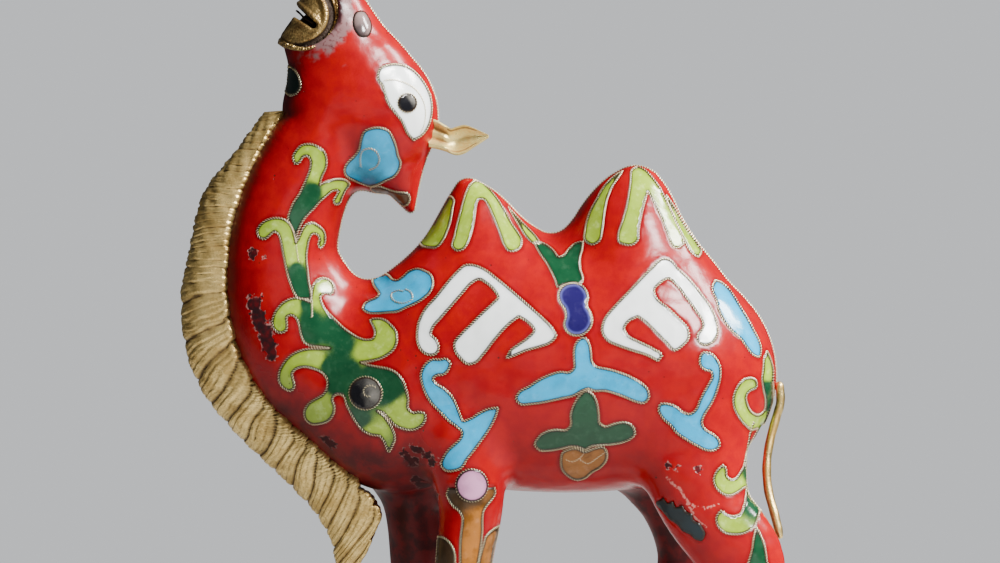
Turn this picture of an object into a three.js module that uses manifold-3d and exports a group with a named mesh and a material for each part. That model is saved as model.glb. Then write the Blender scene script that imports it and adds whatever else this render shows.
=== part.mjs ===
// A cloisonne camel, two-humped, standing with its head thrown up and its neck bent back.
// Millimetres. +Z is up, the camel faces -X, and its left flank is on the -Y side.
//
// The body is one enamelled copper shell: trunk, humps, neck, head and four legs. A cast gilt mane
// runs down the front of the neck and ends in a hanging tassel, a cast gilt muzzle caps the head,
// two folded gilt leaves are the ears, and a round gilt rod is the tail.
import * as THREE from "three";
import { mergeVertices } from "three/addons/utils/BufferGeometryUtils.js";
import Module from "manifold-3d";

const wasm = await Module();
wasm.setup();
const { Manifold, Mesh: SolidMesh } = wasm;

// Driving dimensions
const GAP = 0.3; // clearance between a fitted gilt piece and the enamelled shell
const SPAN_STEPS = 8; // short spans between two stations of a limb
const FIELD_BOX = { x: 50, y: 19, top: 116 }; // the space in which the body's surface is looked for
const BODY_STEP = { x: 2.6, y: 2.6, yMiddle: 1.9, zLow: 3.0, zTrunk: 2.55, zHead: 2.1 }; // facet size
const KNEE_Z = 26; // below this the legs take the coarser facets
const NECK_Z = 72; // above this the head and the hump tips take the finer facets
const SOLE_REACH = 3; // how far the legs run on below the ground before the soles are cut

const RIB_PITCH = 2.4; // one lock of hair of the mane
const RIB_DEPTH = 0.35;
const MANE_HALF_WIDTH = 4.3;
const MANE_STEPS = 24; // short steps between two stations of the mane
const TAIL_RADIUS = 0.7;

// The muzzle meets the head along a cylinder that lies across the face
const SEAT = { x: -27.1, z: 104.0, radius: 6.1 };
const ACROSS_FACE = 12; // half length of every cutter that goes across the whole face
const ACROSS_SIDES = 48;
const MUZZLE_BOX = { xs: [-35, -14], ys: [-9, 9], zs: [90, 113] };
const MUZZLE_STEP = 1.2;
const CORE_STEP = 2.2; // facets of the floor of the muzzle's groove and mouth
const GROOVE = { radius: 4.6, halfWidth: 0.4, depth: 0.5, towards: -32, from: 1.2 };
const COLLAR_RAISE = 0.25;
// The mouth runs out from its corner, rising by so many degrees
const MOUTH = { cornerX: -25.0, cornerZ: 101.7, rise: 38, halfOpen: 0.5, depth: 1.3, slab: 9 };

// Limbs: x and z of the axis, r its radius seen from the side, w its half width across the body.
// A leg also has y, its distance from the middle.
const TRUNK = [
  { x: -13.1, z: 44.9, r: 13.1, w: 10.8 }, // breast
  { x: -5.8, z: 50.5, r: 16.7, w: 12.9 }, // shoulder
  { x: 4.7, z: 51.2, r: 19.1, w: 14.4 }, // barrel
  { x: 15.2, z: 50.5, r: 18.7, w: 14.7 },
  { x: 23.1, z: 50.4, r: 17.9, w: 14.4 }, // loin
  { x: 27.8, z: 49.5, r: 16.3, w: 13.8 }, // rump
];
const NECK = [
  { x: -8.7, z: 47.9, r: 12.9, w: 11.7 }, // root of the neck
  { x: -16.0, z: 48.1, r: 11.5, w: 10.5 },
  { x: -23.1, z: 51.6, r: 11.9, w: 9.3 }, // bend
  { x: -28.1, z: 58.4, r: 10.7, w: 8.5 },
  { x: -30.4, z: 66.6, r: 8.9, w: 8.2 }, // middle
  { x: -29.2, z: 74.3, r: 8.3, w: 8.1 },
  { x: -26.3, z: 81.0, r: 7.7, w: 7.8 },
  { x: -22.9, z: 87.7, r: 7.1, w: 7.5 },
  { x: -21.9, z: 89.4, r: 8.4, w: 7.5 }, // throat
];
const HEAD = [
  { x: -23.6, z: 102.1, r: 7.1, w: 5.5 }, // snout
  { x: -21.3, z: 97.2, r: 8.0, w: 6.6 },
  { x: -17.9, z: 91.9, r: 9.0, w: 7.5 }, // cheek
  { x: -15.7, z: 88.1, r: 9.1, w: 7.5 }, // brow
  { x: -15.9, z: 85.7, r: 8.4, w: 6.0 },
  { x: -12.7, z: 79.8, r: 3.6, w: 3.6 }, // nape
  { x: -10.9, z: 74.5, r: 0.8, w: 1.3 }, // pointed tip of the nape
];
const FRONT_HUMP = [
  { x: 0.6, z: 56.3, r: 13.8, w: 11.1 },
  { x: -0.3, z: 66.6, r: 8.9, w: 7.2 },
  { x: -1.3, z: 73.5, r: 4.8, w: 4.4 },
  { x: -2.2, z: 76.8, r: 2.3, w: 2.4 },
];
const REAR_HUMP = [
  { x: 23.4, z: 59.0, r: 13.1, w: 11.1 },
  { x: 21.8, z: 69.5, r: 8.9, w: 7.6 },
  { x: 22.4, z: 74.0, r: 6.4, w: 5.4 },
  { x: 22.9, z: 76.4, r: 4.6, w: 3.6 },
];
const LEFT_FORELEG = [
  { x: -3.0, y: -6.9, z: 39.8, r: 6.6, w: 6.0 },
  { x: -1.8, y: -7.9, z: 30.7, r: 5.0, w: 5.0 }, // elbow
  { x: -2.8, y: -8.4, z: 21.3, r: 4.3, w: 4.5 }, // knee
  { x: -3.2, y: -8.4, z: 9.8, r: 3.9, w: 3.8 }, // shank
  { x: -3.3, y: -8.4, z: 4.4, r: 3.7, w: 3.7 }, // fetlock
  { x: -3.9, y: -8.4, z: 0.0, r: 4.9, w: 4.5 }, // foot
];
const RIGHT_FORELEG = [
  { x: -9.7, y: 6.9, z: 38.1, r: 9.2, w: 6.0 },
  { x: -10.6, y: 7.9, z: 31.5, r: 5.1, w: 5.0 },
  { x: -9.5, y: 8.4, z: 21.5, r: 4.7, w: 4.5 },
  { x: -10.2, y: 8.4, z: 9.8, r: 3.9, w: 3.8 },
  { x: -10.3, y: 8.4, z: 4.4, r: 3.7, w: 3.7 },
  { x: -10.9, y: 8.4, z: 0.0, r: 4.9, w: 4.5 },
];
const LEFT_HIND_LEG = [
  { x: 30.4, y: -6.6, z: 40.2, r: 9.0, w: 6.6 },
  { x: 33.3, y: -7.8, z: 29.8, r: 6.7, w: 5.4 }, // thigh
  { x: 39.0, y: -8.4, z: 21.6, r: 6.0, w: 4.6 }, // hock
  { x: 40.7, y: -8.4, z: 16.0, r: 4.0, w: 4.3 },
  { x: 39.8, y: -8.4, z: 9.2, r: 3.8, w: 3.8 }, // shank
  { x: 39.4, y: -8.4, z: 4.4, r: 3.7, w: 3.7 }, // fetlock
  { x: 38.9, y: -8.4, z: 0.0, r: 4.9, w: 4.5 }, // foot
];
const RIGHT_HIND_LEG = [
  { x: 27.7, y: 6.6, z: 39.0, r: 10.1, w: 6.6 },
  { x: 30.1, y: 7.8, z: 30.9, r: 6.7, w: 5.4 },
  { x: 30.8, y: 8.4, z: 22.8, r: 4.6, w: 4.6 },
  { x: 30.6, y: 8.4, z: 15.8, r: 4.7, w: 4.3 },
  { x: 31.1, y: 8.4, z: 9.2, r: 3.8, w: 3.8 },
  { x: 31.0, y: 8.4, z: 4.4, r: 3.7, w: 3.7 },
  { x: 30.5, y: 8.4, z: 0.0, r: 4.9, w: 4.5 },
];
// The limbs in the order they are joined, each with the width of its soft fillet
const LIMBS = [
  { stations: TRUNK, fillet: 0 },
  { stations: NECK, fillet: 3.3 },
  { stations: HEAD, fillet: 2.1 },
  { stations: FRONT_HUMP, fillet: 3.3 },
  { stations: REAR_HUMP, fillet: 3.3 },
  { stations: LEFT_FORELEG, fillet: 2.7, foot: true },
  { stations: RIGHT_FORELEG, fillet: 2.7, foot: true },
  { stations: LEFT_HIND_LEG, fillet: 2.7, foot: true },
  { stations: RIGHT_HIND_LEG, fillet: 2.7, foot: true },
];
// The snout inside the muzzle casting, from the face to the upper lip
const SNOUT = [
  { x: -24.7, z: 99.6, r: 5.9, w: 5.6 },
  { x: -24.1, z: 102.3, r: 4.4, w: 5.4 },
  { x: -23.8, z: 104.9, r: 3.7, w: 4.8 },
  { x: -24.1, z: 106.7, r: 2.6, w: 3.8 },
];
// The mane from the throat down to the tassel: its outer edge x, z, and the edge inX, inZ that lies
// on the neck. width scales the half width of the fringe.
const MANE = [
  { x: -33.1, z: 88.9, inX: -29.6, inZ: 89.1, width: 0.5 },
  { x: -37.0, z: 83.6, inX: -33.0, inZ: 83.3, width: 0.75 },
  { x: -42.0, z: 77.1, inX: -36.3, inZ: 76.1, width: 0.95 },
  { x: -44.5, z: 67.5, inX: -38.0, inZ: 67.5, width: 1.0 },
  { x: -45.6, z: 60.8, inX: -37.7, inZ: 60.8, width: 1.0 },
  { x: -44.9, z: 53.3, inX: -36.5, inZ: 53.3, width: 1.0 },
  { x: -42.4, z: 47.0, inX: -33.2, inZ: 47.6, width: 1.0 },
  { x: -36.8, z: 40.1, inX: -28.1, inZ: 41.9, width: 1.0 },
  { x: -30.1, z: 33.6, inX: -22.5, inZ: 37.1, width: 1.0 },
  { x: -25.1, z: 28.2, inX: -17.7, inZ: 32.9, width: 0.95 },
  { x: -23.1, z: 24.5, inX: -14.8, inZ: 29.3, width: 0.85 },
  { x: -22.3, z: 21.0, inX: -16.4, inZ: 24.6, width: 0.65 },
  { x: -21.0, z: 17.6, inX: -20.2, inZ: 17.8, width: 0.3 },
];
// One ear seen from the side: top and bottom edge, and how deep the leaf is dished
const EAR_MIDDLE_Y = -2.6;
const EAR_SPLAY = -1.6;
const EAR_SHEET = 0.55;
const EAR = [
  { x: -6.8, top: 88.0, bottom: 83.4, dish: 1.5 },
  { x: -5.4, top: 86.8, bottom: 83.4, dish: 1.4 },
  { x: -4.2, top: 86.7, bottom: 82.5, dish: 1.6 },
  { x: -3.0, top: 87.0, bottom: 82.5, dish: 1.5 },
  { x: -1.2, top: 86.4, bottom: 83.7, dish: 1.0 },
  { x: 0.9, top: 85.5, bottom: 85.1, dish: 0.2 },
];
const TAIL = [
  { x: 45.0, y: -1.6, z: 48.3 },
  { x: 44.95, y: -1.7, z: 47.2 },
  { x: 44.6, y: -2.0, z: 45.4 },
  { x: 44.0, y: -2.3, z: 43.4 },
  { x: 42.95, y: -2.9, z: 39.8 },
  { x: 42.4, y: -3.6, z: 36.2 },
  { x: 42.6, y: -4.2, z: 32.4 },
  { x: 43.55, y: -5.0, z: 28.6 },
  { x: 44.4, y: -5.4, z: 25.2 },
];

const MATERIALS = {
  enamel: { color: 0xb8261c, roughness: 0.22, metalness: 0.0 },
  gilt: { color: 0xb08d4c, roughness: 0.42, metalness: 0.9 },
};

// Smooth curve through stations: every number of a station is carried along by one cubic,
// parametrised by the distance between the stations
function smoothStations(stations, steps) {
  const keys = Object.keys(stations[0]);
  const reach = (a, b) => Math.hypot(b.x - a.x, b.z - a.z);
  const spans = stations.slice(1).map((b, i) => reach(stations[i], b));
  const slope = (i, key) => (stations[i + 1][key] - stations[i][key]) / spans[i];
  const last = stations.length - 1;
  const tangent = (i, key) => {
    if (i === 0) return slope(0, key);
    if (i === last) return slope(last - 1, key);
    const before = spans[i - 1];
    const after = spans[i];
    return (slope(i, key) * before + slope(i - 1, key) * after) / (before + after);
  };
  const out = [];
  for (let i = 0; i < last; i++) {
    for (let s = 0; s < steps; s++) {
      const u = s / steps;
      const point = {};
      for (const key of keys) {
        const from = stations[i][key] * (2 * u ** 3 - 3 * u ** 2 + 1);
        const to = stations[i + 1][key] * (3 * u ** 2 - 2 * u ** 3);
        const leave = tangent(i, key) * spans[i] * (u ** 3 - 2 * u ** 2 + u);
        const arrive = tangent(i + 1, key) * spans[i] * (u ** 3 - u ** 2);
        point[key] = from + to + leave + arrive;
      }
      out.push(point);
    }
  }
  out.push({ ...stations[last] });
  return out;
}

// Signed distance to one limb, near enough in millimetres close to its surface
function limbField(stations) {
  const points = smoothStations(stations, SPAN_STEPS);
  const spans = points.slice(1).map((b, i) => {
    const a = points[i];
    const dx = b.x - a.x;
    const dz = b.z - a.z;
    const middle = a.y ?? 0;
    const dy = (b.y ?? 0) - middle;
    return { a, middle, dx, dy, dz, dr: b.r - a.r, dw: b.w - a.w, length2: dx * dx + dz * dz };
  });
  return (x, y, z) => {
    let best = Infinity;
    for (const { a, dx, dz, length2, middle, dy, dr, dw } of spans) {
      const along = ((x - a.x) * dx + (z - a.z) * dz) / length2;
      const t = along < 0 ? 0 : along > 1 ? 1 : along;
      const r = a.r + t * dr;
      const w = a.w + t * dw;
      const u = (x - a.x - t * dx) / r;
      const v = (z - a.z - t * dz) / r;
      const across = (y - middle - t * dy) / w;
      const f = (Math.sqrt(u * u + v * v + across * across) - 1) * (r < w ? r : w);
      if (f < best) best = f;
    }
    return best;
  };
}

// Union of two shapes with a soft fillet of width k between them
function softUnion(a, b, k) {
  if (k === 0) return Math.min(a, b);
  const h = Math.min(1, Math.max(0, 0.5 + (0.5 * (b - a)) / k));
  return b * (1 - h) + a * h - k * h * (1 - h);
}

// A leg runs straight on below its foot, so that the sole is cut square
function withSole(limb) {
  if (!limb.foot) return limb.stations;
  const foot = limb.stations[limb.stations.length - 1];
  return [...limb.stations, { ...foot, z: foot.z - SOLE_REACH }];
}

const limbFields = LIMBS.map((limb) => limbField(withSole(limb)));

function bodyField(x, y, z) {
  let f = limbFields[0](x, y, z);
  for (let i = 1; i < LIMBS.length; i++) {
    f = softUnion(f, limbFields[i](x, y, z), LIMBS[i].fillet);
  }
  return f;
}

// Evenly spaced grid lines that pass through one given value
function lines(from, to, step, through = from) {
  const first = through - Math.ceil((through - from) / step) * step;
  const out = [];
  for (let v = first; v <= to + step; v += step) out.push(v);
  return out;
}

function gradient(field, p) {
  const e = 0.01;
  return [0, 1, 2].map((axis) => {
    const ahead = [...p];
    const behind = [...p];
    ahead[axis] += e;
    behind[axis] -= e;
    return (field(...ahead) - field(...behind)) / (2 * e);
  });
}

// Moves a point straight onto the surface where the field is zero
function ontoSurface(field, point, rounds = 4) {
  let p = point;
  for (let i = 0; i < rounds; i++) {
    const g = gradient(field, p);
    const length2 = g[0] ** 2 + g[1] ** 2 + g[2] ** 2;
    if (length2 < 1e-6) return p;
    const step = field(...p) / length2;
    p = p.map((v, axis) => v - step * g[axis]);
  }
  return p;
}

// Closed facets of the surface where the field is zero: one vertex in every grid cell that the
// surface crosses, one quad across every grid edge that it crosses
function facetSurface(field, xs, ys, zs, relaxRounds = 3) {
  const size = [xs.length, ys.length, zs.length];
  const at = (i, j, k) => (k * size[1] + j) * size[0] + i;
  const values = new Float64Array(size[0] * size[1] * size[2]);
  for (let k = 0; k < size[2]; k++) {
    for (let j = 0; j < size[1]; j++) {
      for (let i = 0; i < size[0]; i++) values[at(i, j, k)] = field(xs[i], ys[j], zs[k]);
    }
  }

  const corner = (i, j, k, c) => [i + (c & 1), j + ((c >> 1) & 1), k + (c >> 2)];
  const edges = [];
  for (let c = 0; c < 8; c++) {
    for (const bit of [1, 2, 4]) if (!(c & bit)) edges.push([c, c | bit]);
  }
  const vertexOf = new Map();
  let vertices = [];
  for (let k = 0; k < size[2] - 1; k++) {
    for (let j = 0; j < size[1] - 1; j++) {
      for (let i = 0; i < size[0] - 1; i++) {
        const sum = [0, 0, 0];
        let crossings = 0;
        for (const [c, d] of edges) {
          const a = corner(i, j, k, c);
          const b = corner(i, j, k, d);
          const va = values[at(...a)];
          const vb = values[at(...b)];
          if (va < 0 === vb < 0) continue;
          const t = va / (va - vb);
          const pa = [xs[a[0]], ys[a[1]], zs[a[2]]];
          const pb = [xs[b[0]], ys[b[1]], zs[b[2]]];
          sum.forEach((v, axis) => (sum[axis] = v + pa[axis] + t * (pb[axis] - pa[axis])));
          crossings++;
        }
        if (crossings === 0) continue;
        vertexOf.set(at(i, j, k), vertices.length);
        vertices.push(sum.map((v) => v / crossings));
      }
    }
  }

  const quads = [];
  const strides = [
    [1, 0, 0],
    [0, 1, 0],
    [0, 0, 1],
  ];
  for (let k = 1; k < size[2] - 1; k++) {
    for (let j = 1; j < size[1] - 1; j++) {
      for (let i = 1; i < size[0] - 1; i++) {
        strides.forEach((step, axis) => {
          const here = values[at(i, j, k)] < 0;
          const there = values[at(i + step[0], j + step[1], k + step[2])] < 0;
          if (here === there) return;
          const u = strides[(axis + 1) % 3];
          const v = strides[(axis + 2) % 3];
          const cell = (a, b) =>
            vertexOf.get(at(i - a * u[0] - b * v[0], j - a * u[1] - b * v[1], k - a * u[2] - b * v[2]));
          const quad = [cell(1, 1), cell(0, 1), cell(0, 0), cell(1, 0)];
          quads.push(here ? quad : quad.reverse());
        });
      }
    }
  }

  vertices = vertices.map((p) => ontoSurface(field, p));
  const neighbours = vertices.map(() => new Set());
  for (const quad of quads) {
    quad.forEach((v, n) => {
      neighbours[v].add(quad[(n + 1) % 4]);
      neighbours[v].add(quad[(n + 3) % 4]);
    });
  }
  for (let round = 0; round < relaxRounds; round++) {
    vertices = vertices.map((p, v) => {
      const near = [...neighbours[v]];
      const moved = p.map((value, axis) => {
        const mean = near.reduce((total, n) => total + vertices[n][axis], 0) / near.length;
        return 0.5 * value + 0.5 * mean;
      });
      return ontoSurface(field, moved, 2);
    });
  }

  const distance = (a, b) =>
    Math.hypot(...[0, 1, 2].map((axis) => vertices[a][axis] - vertices[b][axis]));
  const index = [];
  for (const [a, b, c, d] of quads) {
    if (distance(a, c) < distance(b, d)) index.push(a, b, c, a, c, d);
    else index.push(a, b, d, b, c, d);
  }
  return { vertices, index };
}

function solidFrom({ vertices, index }) {
  return new Manifold(
    new SolidMesh({
      numProp: 3,
      vertProperties: new Float32Array(vertices.flat()),
      triVerts: new Uint32Array(index),
    }),
  );
}

function geometryFrom(vertices, index) {
  const geometry = new THREE.BufferGeometry();
  geometry.setAttribute("position", new THREE.Float32BufferAttribute(vertices.flat(), 3));
  geometry.setIndex([...index]);
  geometry.computeVertexNormals();
  return geometry;
}

function geometryOfSolid(solid) {
  const mesh = solid.getMesh();
  const vertices = [];
  for (let i = 0; i < mesh.numVert; i++) {
    vertices.push([...mesh.vertProperties.subarray(i * mesh.numProp, i * mesh.numProp + 3)]);
  }
  return geometryFrom(vertices, mesh.triVerts);
}

// Closed skin over rings of points, each ring with the same number of points
function skinOverRings(rings) {
  const count = rings[0].length;
  const vertices = rings.flat();
  const index = [];
  for (let r = 0; r + 1 < rings.length; r++) {
    for (let i = 0; i < count; i++) {
      const a = r * count + i;
      const b = r * count + ((i + 1) % count);
      index.push(a, b, b + count, a, b + count, a + count);
    }
  }
  const cap = (start, flip) => {
    const middle = [0, 1, 2].map(
      (axis) => vertices.slice(start, start + count).reduce((s, p) => s + p[axis], 0) / count,
    );
    const centre = vertices.push(middle) - 1;
    for (let i = 0; i < count; i++) {
      const a = start + i;
      const b = start + ((i + 1) % count);
      index.push(...(flip ? [b, a, centre] : [a, b, centre]));
    }
  };
  const lastRing = (rings.length - 1) * count;
  cap(0, true);
  cap(lastRing, false);
  return { vertices, index };
}

// Skins come out facing outward or inward with the turn of their rings; this keeps them outward
function outward(skin) {
  const { vertices, index } = skin;
  let volume = 0;
  for (let i = 0; i < index.length; i += 3) {
    const [a, b, c] = [vertices[index[i]], vertices[index[i + 1]], vertices[index[i + 2]]];
    volume += a[0] * (b[1] * c[2] - b[2] * c[1]);
    volume += a[1] * (b[2] * c[0] - b[0] * c[2]);
    volume += a[2] * (b[0] * c[1] - b[1] * c[0]);
  }
  if (volume > 0) return skin;
  const turned = [];
  for (let i = 0; i < index.length; i += 3) turned.push(index[i], index[i + 2], index[i + 1]);
  return { vertices, index: turned };
}

// A closed three.js shape as a solid to join and cut with
function solidOfShape(shape) {
  shape.deleteAttribute("normal");
  shape.deleteAttribute("uv");
  const { attributes, index } = mergeVertices(shape);
  return new Manifold(
    new SolidMesh({
      numProp: 3,
      vertProperties: new Float32Array(attributes.position.array),
      triVerts: new Uint32Array(index.array),
    }),
  );
}

function cylinderAcross(x, z, radius, halfLength) {
  const wall = new THREE.CylinderGeometry(radius, radius, 2 * halfLength, ACROSS_SIDES);
  return solidOfShape(wall.translate(x, 0, z));
}

function makeBody() {
  const { x, y, yMiddle, zLow, zTrunk, zHead } = BODY_STEP;
  const napeTip = HEAD[HEAD.length - 1];
  const xs = lines(-FIELD_BOX.x, FIELD_BOX.x, x, napeTip.x);
  const leftSide = lines(yMiddle + y, FIELD_BOX.y, y);
  const ys = [...leftSide.map((v) => -v).reverse(), -yMiddle, 0, yMiddle, ...leftSide];
  const low = lines(-SOLE_REACH - 4 * zLow, KNEE_Z - zLow, zLow);
  const trunk = lines(low[low.length - 1] + zTrunk, NECK_Z - zTrunk, zTrunk);
  const head = lines(trunk[trunk.length - 1] + zHead, FIELD_BOX.top, zHead);
  const shell = solidFrom(facetSurface(bodyField, xs, ys, [...low, ...trunk, ...head]));
  const ground = new THREE.BoxGeometry(4 * FIELD_BOX.x, 4 * FIELD_BOX.y, 2 * FIELD_BOX.top);
  const standing = shell.subtract(solidOfShape(ground.translate(0, 0, -FIELD_BOX.top)));
  return standing.subtract(cylinderAcross(SEAT.x, SEAT.z, SEAT.radius + GAP, ACROSS_FACE));
}

// The muzzle: the snout inside the seat, with a raised collar along the seat, a groove before the
// collar and the slit of the mouth
function makeMuzzle() {
  const snout = limbField(SNOUT);
  const casting = (x, y, z) => {
    const out = Math.hypot(x - SEAT.x, z - SEAT.z);
    const onCollar = Math.min(1, Math.max(0, (out - GROOVE.radius) / GROOVE.halfWidth));
    return Math.max(snout(x, y, z) - COLLAR_RAISE * onCollar, out - SEAT.radius);
  };
  const solid = (field, step) => {
    const { xs, ys, zs } = MUZZLE_BOX;
    return solidFrom(facetSurface(field, lines(...xs, step), lines(...ys, step, 0), lines(...zs, step), 1));
  };
  const underGroove = solid((...p) => snout(...p) + GROOVE.depth, CORE_STEP);
  const underMouth = solid((...p) => snout(...p) + MOUTH.depth, CORE_STEP);
  const outer = cylinderAcross(SEAT.x, SEAT.z, GROOVE.radius + GROOVE.halfWidth, ACROSS_FACE);
  const inner = cylinderAcross(SEAT.x, SEAT.z, GROOVE.radius - GROOVE.halfWidth, ACROSS_FACE + 1);
  const front = new THREE.BoxGeometry(2 * ACROSS_FACE, 4 * ACROSS_FACE, 4 * ACROSS_FACE);
  front.translate(GROOVE.from - ACROSS_FACE, 0, 0).rotateY(-THREE.MathUtils.degToRad(GROOVE.towards));
  const beforeGroove = solidOfShape(front.translate(SEAT.x, 0, SEAT.z));
  const groove = outer.subtract(inner).subtract(beforeGroove).subtract(underGroove);
  const slit = mouthSlab().subtract(underMouth);
  return solid(casting, MUZZLE_STEP).subtract(groove).subtract(slit);
}

// A slab that runs out from the corner of the mouth to the front
function mouthSlab() {
  const slab = new THREE.BoxGeometry(MOUTH.slab, 2 * ACROSS_FACE, 2 * MOUTH.halfOpen);
  slab.translate(-MOUTH.slab / 2, 0, 0).rotateY(THREE.MathUtils.degToRad(MOUTH.rise));
  return solidOfShape(slab.translate(MOUTH.cornerX, 0, MOUTH.cornerZ));
}

// Walks from a point in a direction until the enamelled shell is only the gap away
function reachShell(from, direction, farthest) {
  let walked = 0;
  while (walked < farthest) {
    const p = from.map((v, axis) => v + direction[axis] * walked);
    const left = bodyField(...p) - GAP;
    if (left < 0.01) break;
    walked += Math.max(0.02, 0.6 * left);
  }
  return Math.min(walked, farthest);
}

// The mane: a half-round fringe laid on the front of the neck, with one rib to each lock
function makeMane() {
  const fine = smoothStations(MANE, MANE_STEPS);
  const walked = [0];
  for (let i = 1; i < fine.length; i++) {
    walked.push(walked[i - 1] + Math.hypot(fine[i].x - fine[i - 1].x, fine[i].z - fine[i - 1].z));
  }
  const length = walked[walked.length - 1];
  const count = 2 * Math.round(length / RIB_PITCH);
  const rings = [];
  for (let n = 0; n <= count; n++) {
    const nearest = walked.findIndex((w) => w + 1e-6 >= (n * length) / count);
    rings.push(maneRing(fine[nearest], n % 2 === 1));
  }
  const skin = outward(skinOverRings(rings));
  return geometryFrom(skin.vertices, skin.index);
}

function maneRing(station, valley) {
  const FRONT_POINTS = 8;
  const BACK_POINTS = 3;
  const depth = Math.hypot(station.inX - station.x, station.inZ - station.z);
  const inX = (station.inX - station.x) / depth;
  const inZ = (station.inZ - station.z) / depth;
  const cut = valley ? Math.min(RIB_DEPTH, 0.2 * depth) : 0;
  const halfWidth = MANE_HALF_WIDTH * station.width - (valley ? 0.6 * cut : 0);
  const ring = [];
  for (let i = 0; i < FRONT_POINTS; i++) {
    const turn = Math.PI * (i / (FRONT_POINTS - 1) - 0.5);
    const y = halfWidth * Math.sin(turn);
    const back = depth - (depth - cut) * Math.cos(turn) ** 0.8;
    const start = [station.x + inX * cut, y, station.z + inZ * cut];
    const room = reachShell(start, [inX, 0, inZ], depth - cut);
    const walk = Math.min(back, cut + room);
    ring.push([station.x + inX * walk, y, station.z + inZ * walk]);
  }
  for (let i = BACK_POINTS; i >= 1; i--) {
    const y = halfWidth * ((2 * i) / (BACK_POINTS + 1) - 1);
    const bulge = 0.12 * depth * (1 - (y / halfWidth) ** 2);
    const start = [station.x + inX * cut, y, station.z + inZ * cut];
    const walk = cut + reachShell(start, [inX, 0, inZ], depth + bulge - cut);
    ring.push([station.x + inX * walk, y, station.z + inZ * walk]);
  }
  return ring;
}

// An ear: a dished leaf of sheet, its root trimmed to the back of the head
function makeEar(side) {
  const EDGE_POINTS = 6;
  const stations = smoothStations(
    EAR.map((e) => ({ x: e.x, z: (e.top + e.bottom) / 2, half: (e.top - e.bottom) / 2, dish: e.dish })),
    2,
  );
  const tip = stations[stations.length - 1].x;
  const root = stations[0].x;
  const rings = stations.map((s, n) => {
    const middle = EAR_MIDDLE_Y + EAR_SPLAY * ((s.x - root) / (tip - root));
    const place = (v, sheet) => {
      const y = middle + s.dish * (1 - v * v) - sheet * (1 - 0.6 * v * v);
      const z = s.z + s.half * v;
      const x = n === 0 ? tip - reachShell([tip, y, z], [-1, 0, 0], 12) : s.x;
      return [x, -side * y, z];
    };
    const back = [];
    const front = [];
    for (let i = 0; i < EDGE_POINTS; i++) {
      const v = (2 * i) / (EDGE_POINTS - 1) - 1;
      back.push(place(v, 0));
      front.push(place(-v, EAR_SHEET));
    }
    return [...back, ...front];
  });
  const skin = outward(skinOverRings(rings));
  return geometryFrom(skin.vertices, skin.index);
}

// The tail: a round rod along its line, its ends rounded off a little
function makeTail() {
  const SIDES = 8;
  const points = smoothStations(TAIL, 2).map((p) => new THREE.Vector3(p.x, p.y, p.z));
  const rings = points.map((p, n) => {
    const before = points[Math.max(0, n - 1)];
    const after = points[Math.min(points.length - 1, n + 1)];
    const along = after.clone().sub(before).normalize();
    const across = new THREE.Vector3(0, 1, 0).addScaledVector(along, -along.y).normalize();
    const third = along.clone().cross(across);
    const atEnd = n === 0 || n === points.length - 1;
    const radius = atEnd ? 0.6 * TAIL_RADIUS : TAIL_RADIUS;
    return Array.from({ length: SIDES }, (_, i) => {
      const turn = (2 * Math.PI * i) / SIDES;
      const q = p.clone().addScaledVector(across, radius * Math.cos(turn));
      return q.addScaledVector(third, radius * Math.sin(turn)).toArray();
    });
  });
  const skin = outward(skinOverRings(rings));
  return geometryFrom(skin.vertices, skin.index);
}

const group = new THREE.Group();

function add(name, geometry, material) {
  const mesh = new THREE.Mesh(geometry, new THREE.MeshStandardMaterial(material));
  mesh.name = name;
  group.add(mesh);
}

add("body", geometryOfSolid(makeBody()), MATERIALS.enamel);
add("muzzle", geometryOfSolid(makeMuzzle()), MATERIALS.gilt);
add("mane", makeMane(), MATERIALS.gilt);
add("ear_left", makeEar(-1), MATERIALS.gilt);
add("ear_right", makeEar(1), MATERIALS.gilt);
add("tail", makeTail(), MATERIALS.gilt);

// The origin is on the ground, in the middle of the overall box
const box = new THREE.Box3().setFromObject(group);
group.position.set(-(box.min.x + box.max.x) / 2, -(box.min.y + box.max.y) / 2, -box.min.z);

export default group;
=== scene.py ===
# %% [markdown]
# # A cloisonne camel, piece by piece
#
# The real figurine is a hollow copper camel, about eleven centimetres tall. Two stamped halves are
# soldered along the middle, twisted wires are fixed on the copper, the fields between them are
# filled with enamel and fired, and gilded fittings are put on last: a muzzle, a mane, two ears and
# a tail. The lesson makes the pieces in that order.
#
# All shapes are worked out in millimetres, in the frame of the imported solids: the camel faces -X,
# its left flank looks towards -Y and it stands on z = 0. They become metres when a mesh is made.

import math

import bpy
import numpy as np
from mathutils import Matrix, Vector
from mathutils.bvhtree import BVHTree
from mathutils.geometry import delaunay_2d_cdt
from mathutils.kdtree import KDTree


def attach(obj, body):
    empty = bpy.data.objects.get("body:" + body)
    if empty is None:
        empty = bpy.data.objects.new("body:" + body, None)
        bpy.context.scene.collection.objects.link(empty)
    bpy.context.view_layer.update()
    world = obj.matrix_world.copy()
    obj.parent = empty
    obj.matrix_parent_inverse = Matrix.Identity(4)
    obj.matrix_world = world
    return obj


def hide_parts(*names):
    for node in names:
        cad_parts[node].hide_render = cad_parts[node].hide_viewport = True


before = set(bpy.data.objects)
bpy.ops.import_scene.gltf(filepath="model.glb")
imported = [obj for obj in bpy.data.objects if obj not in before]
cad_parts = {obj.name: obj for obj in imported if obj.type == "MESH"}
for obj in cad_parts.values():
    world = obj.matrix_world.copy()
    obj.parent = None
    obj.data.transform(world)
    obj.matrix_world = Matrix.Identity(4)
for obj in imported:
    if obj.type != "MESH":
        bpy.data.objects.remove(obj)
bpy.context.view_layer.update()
MM = 0.001

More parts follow.
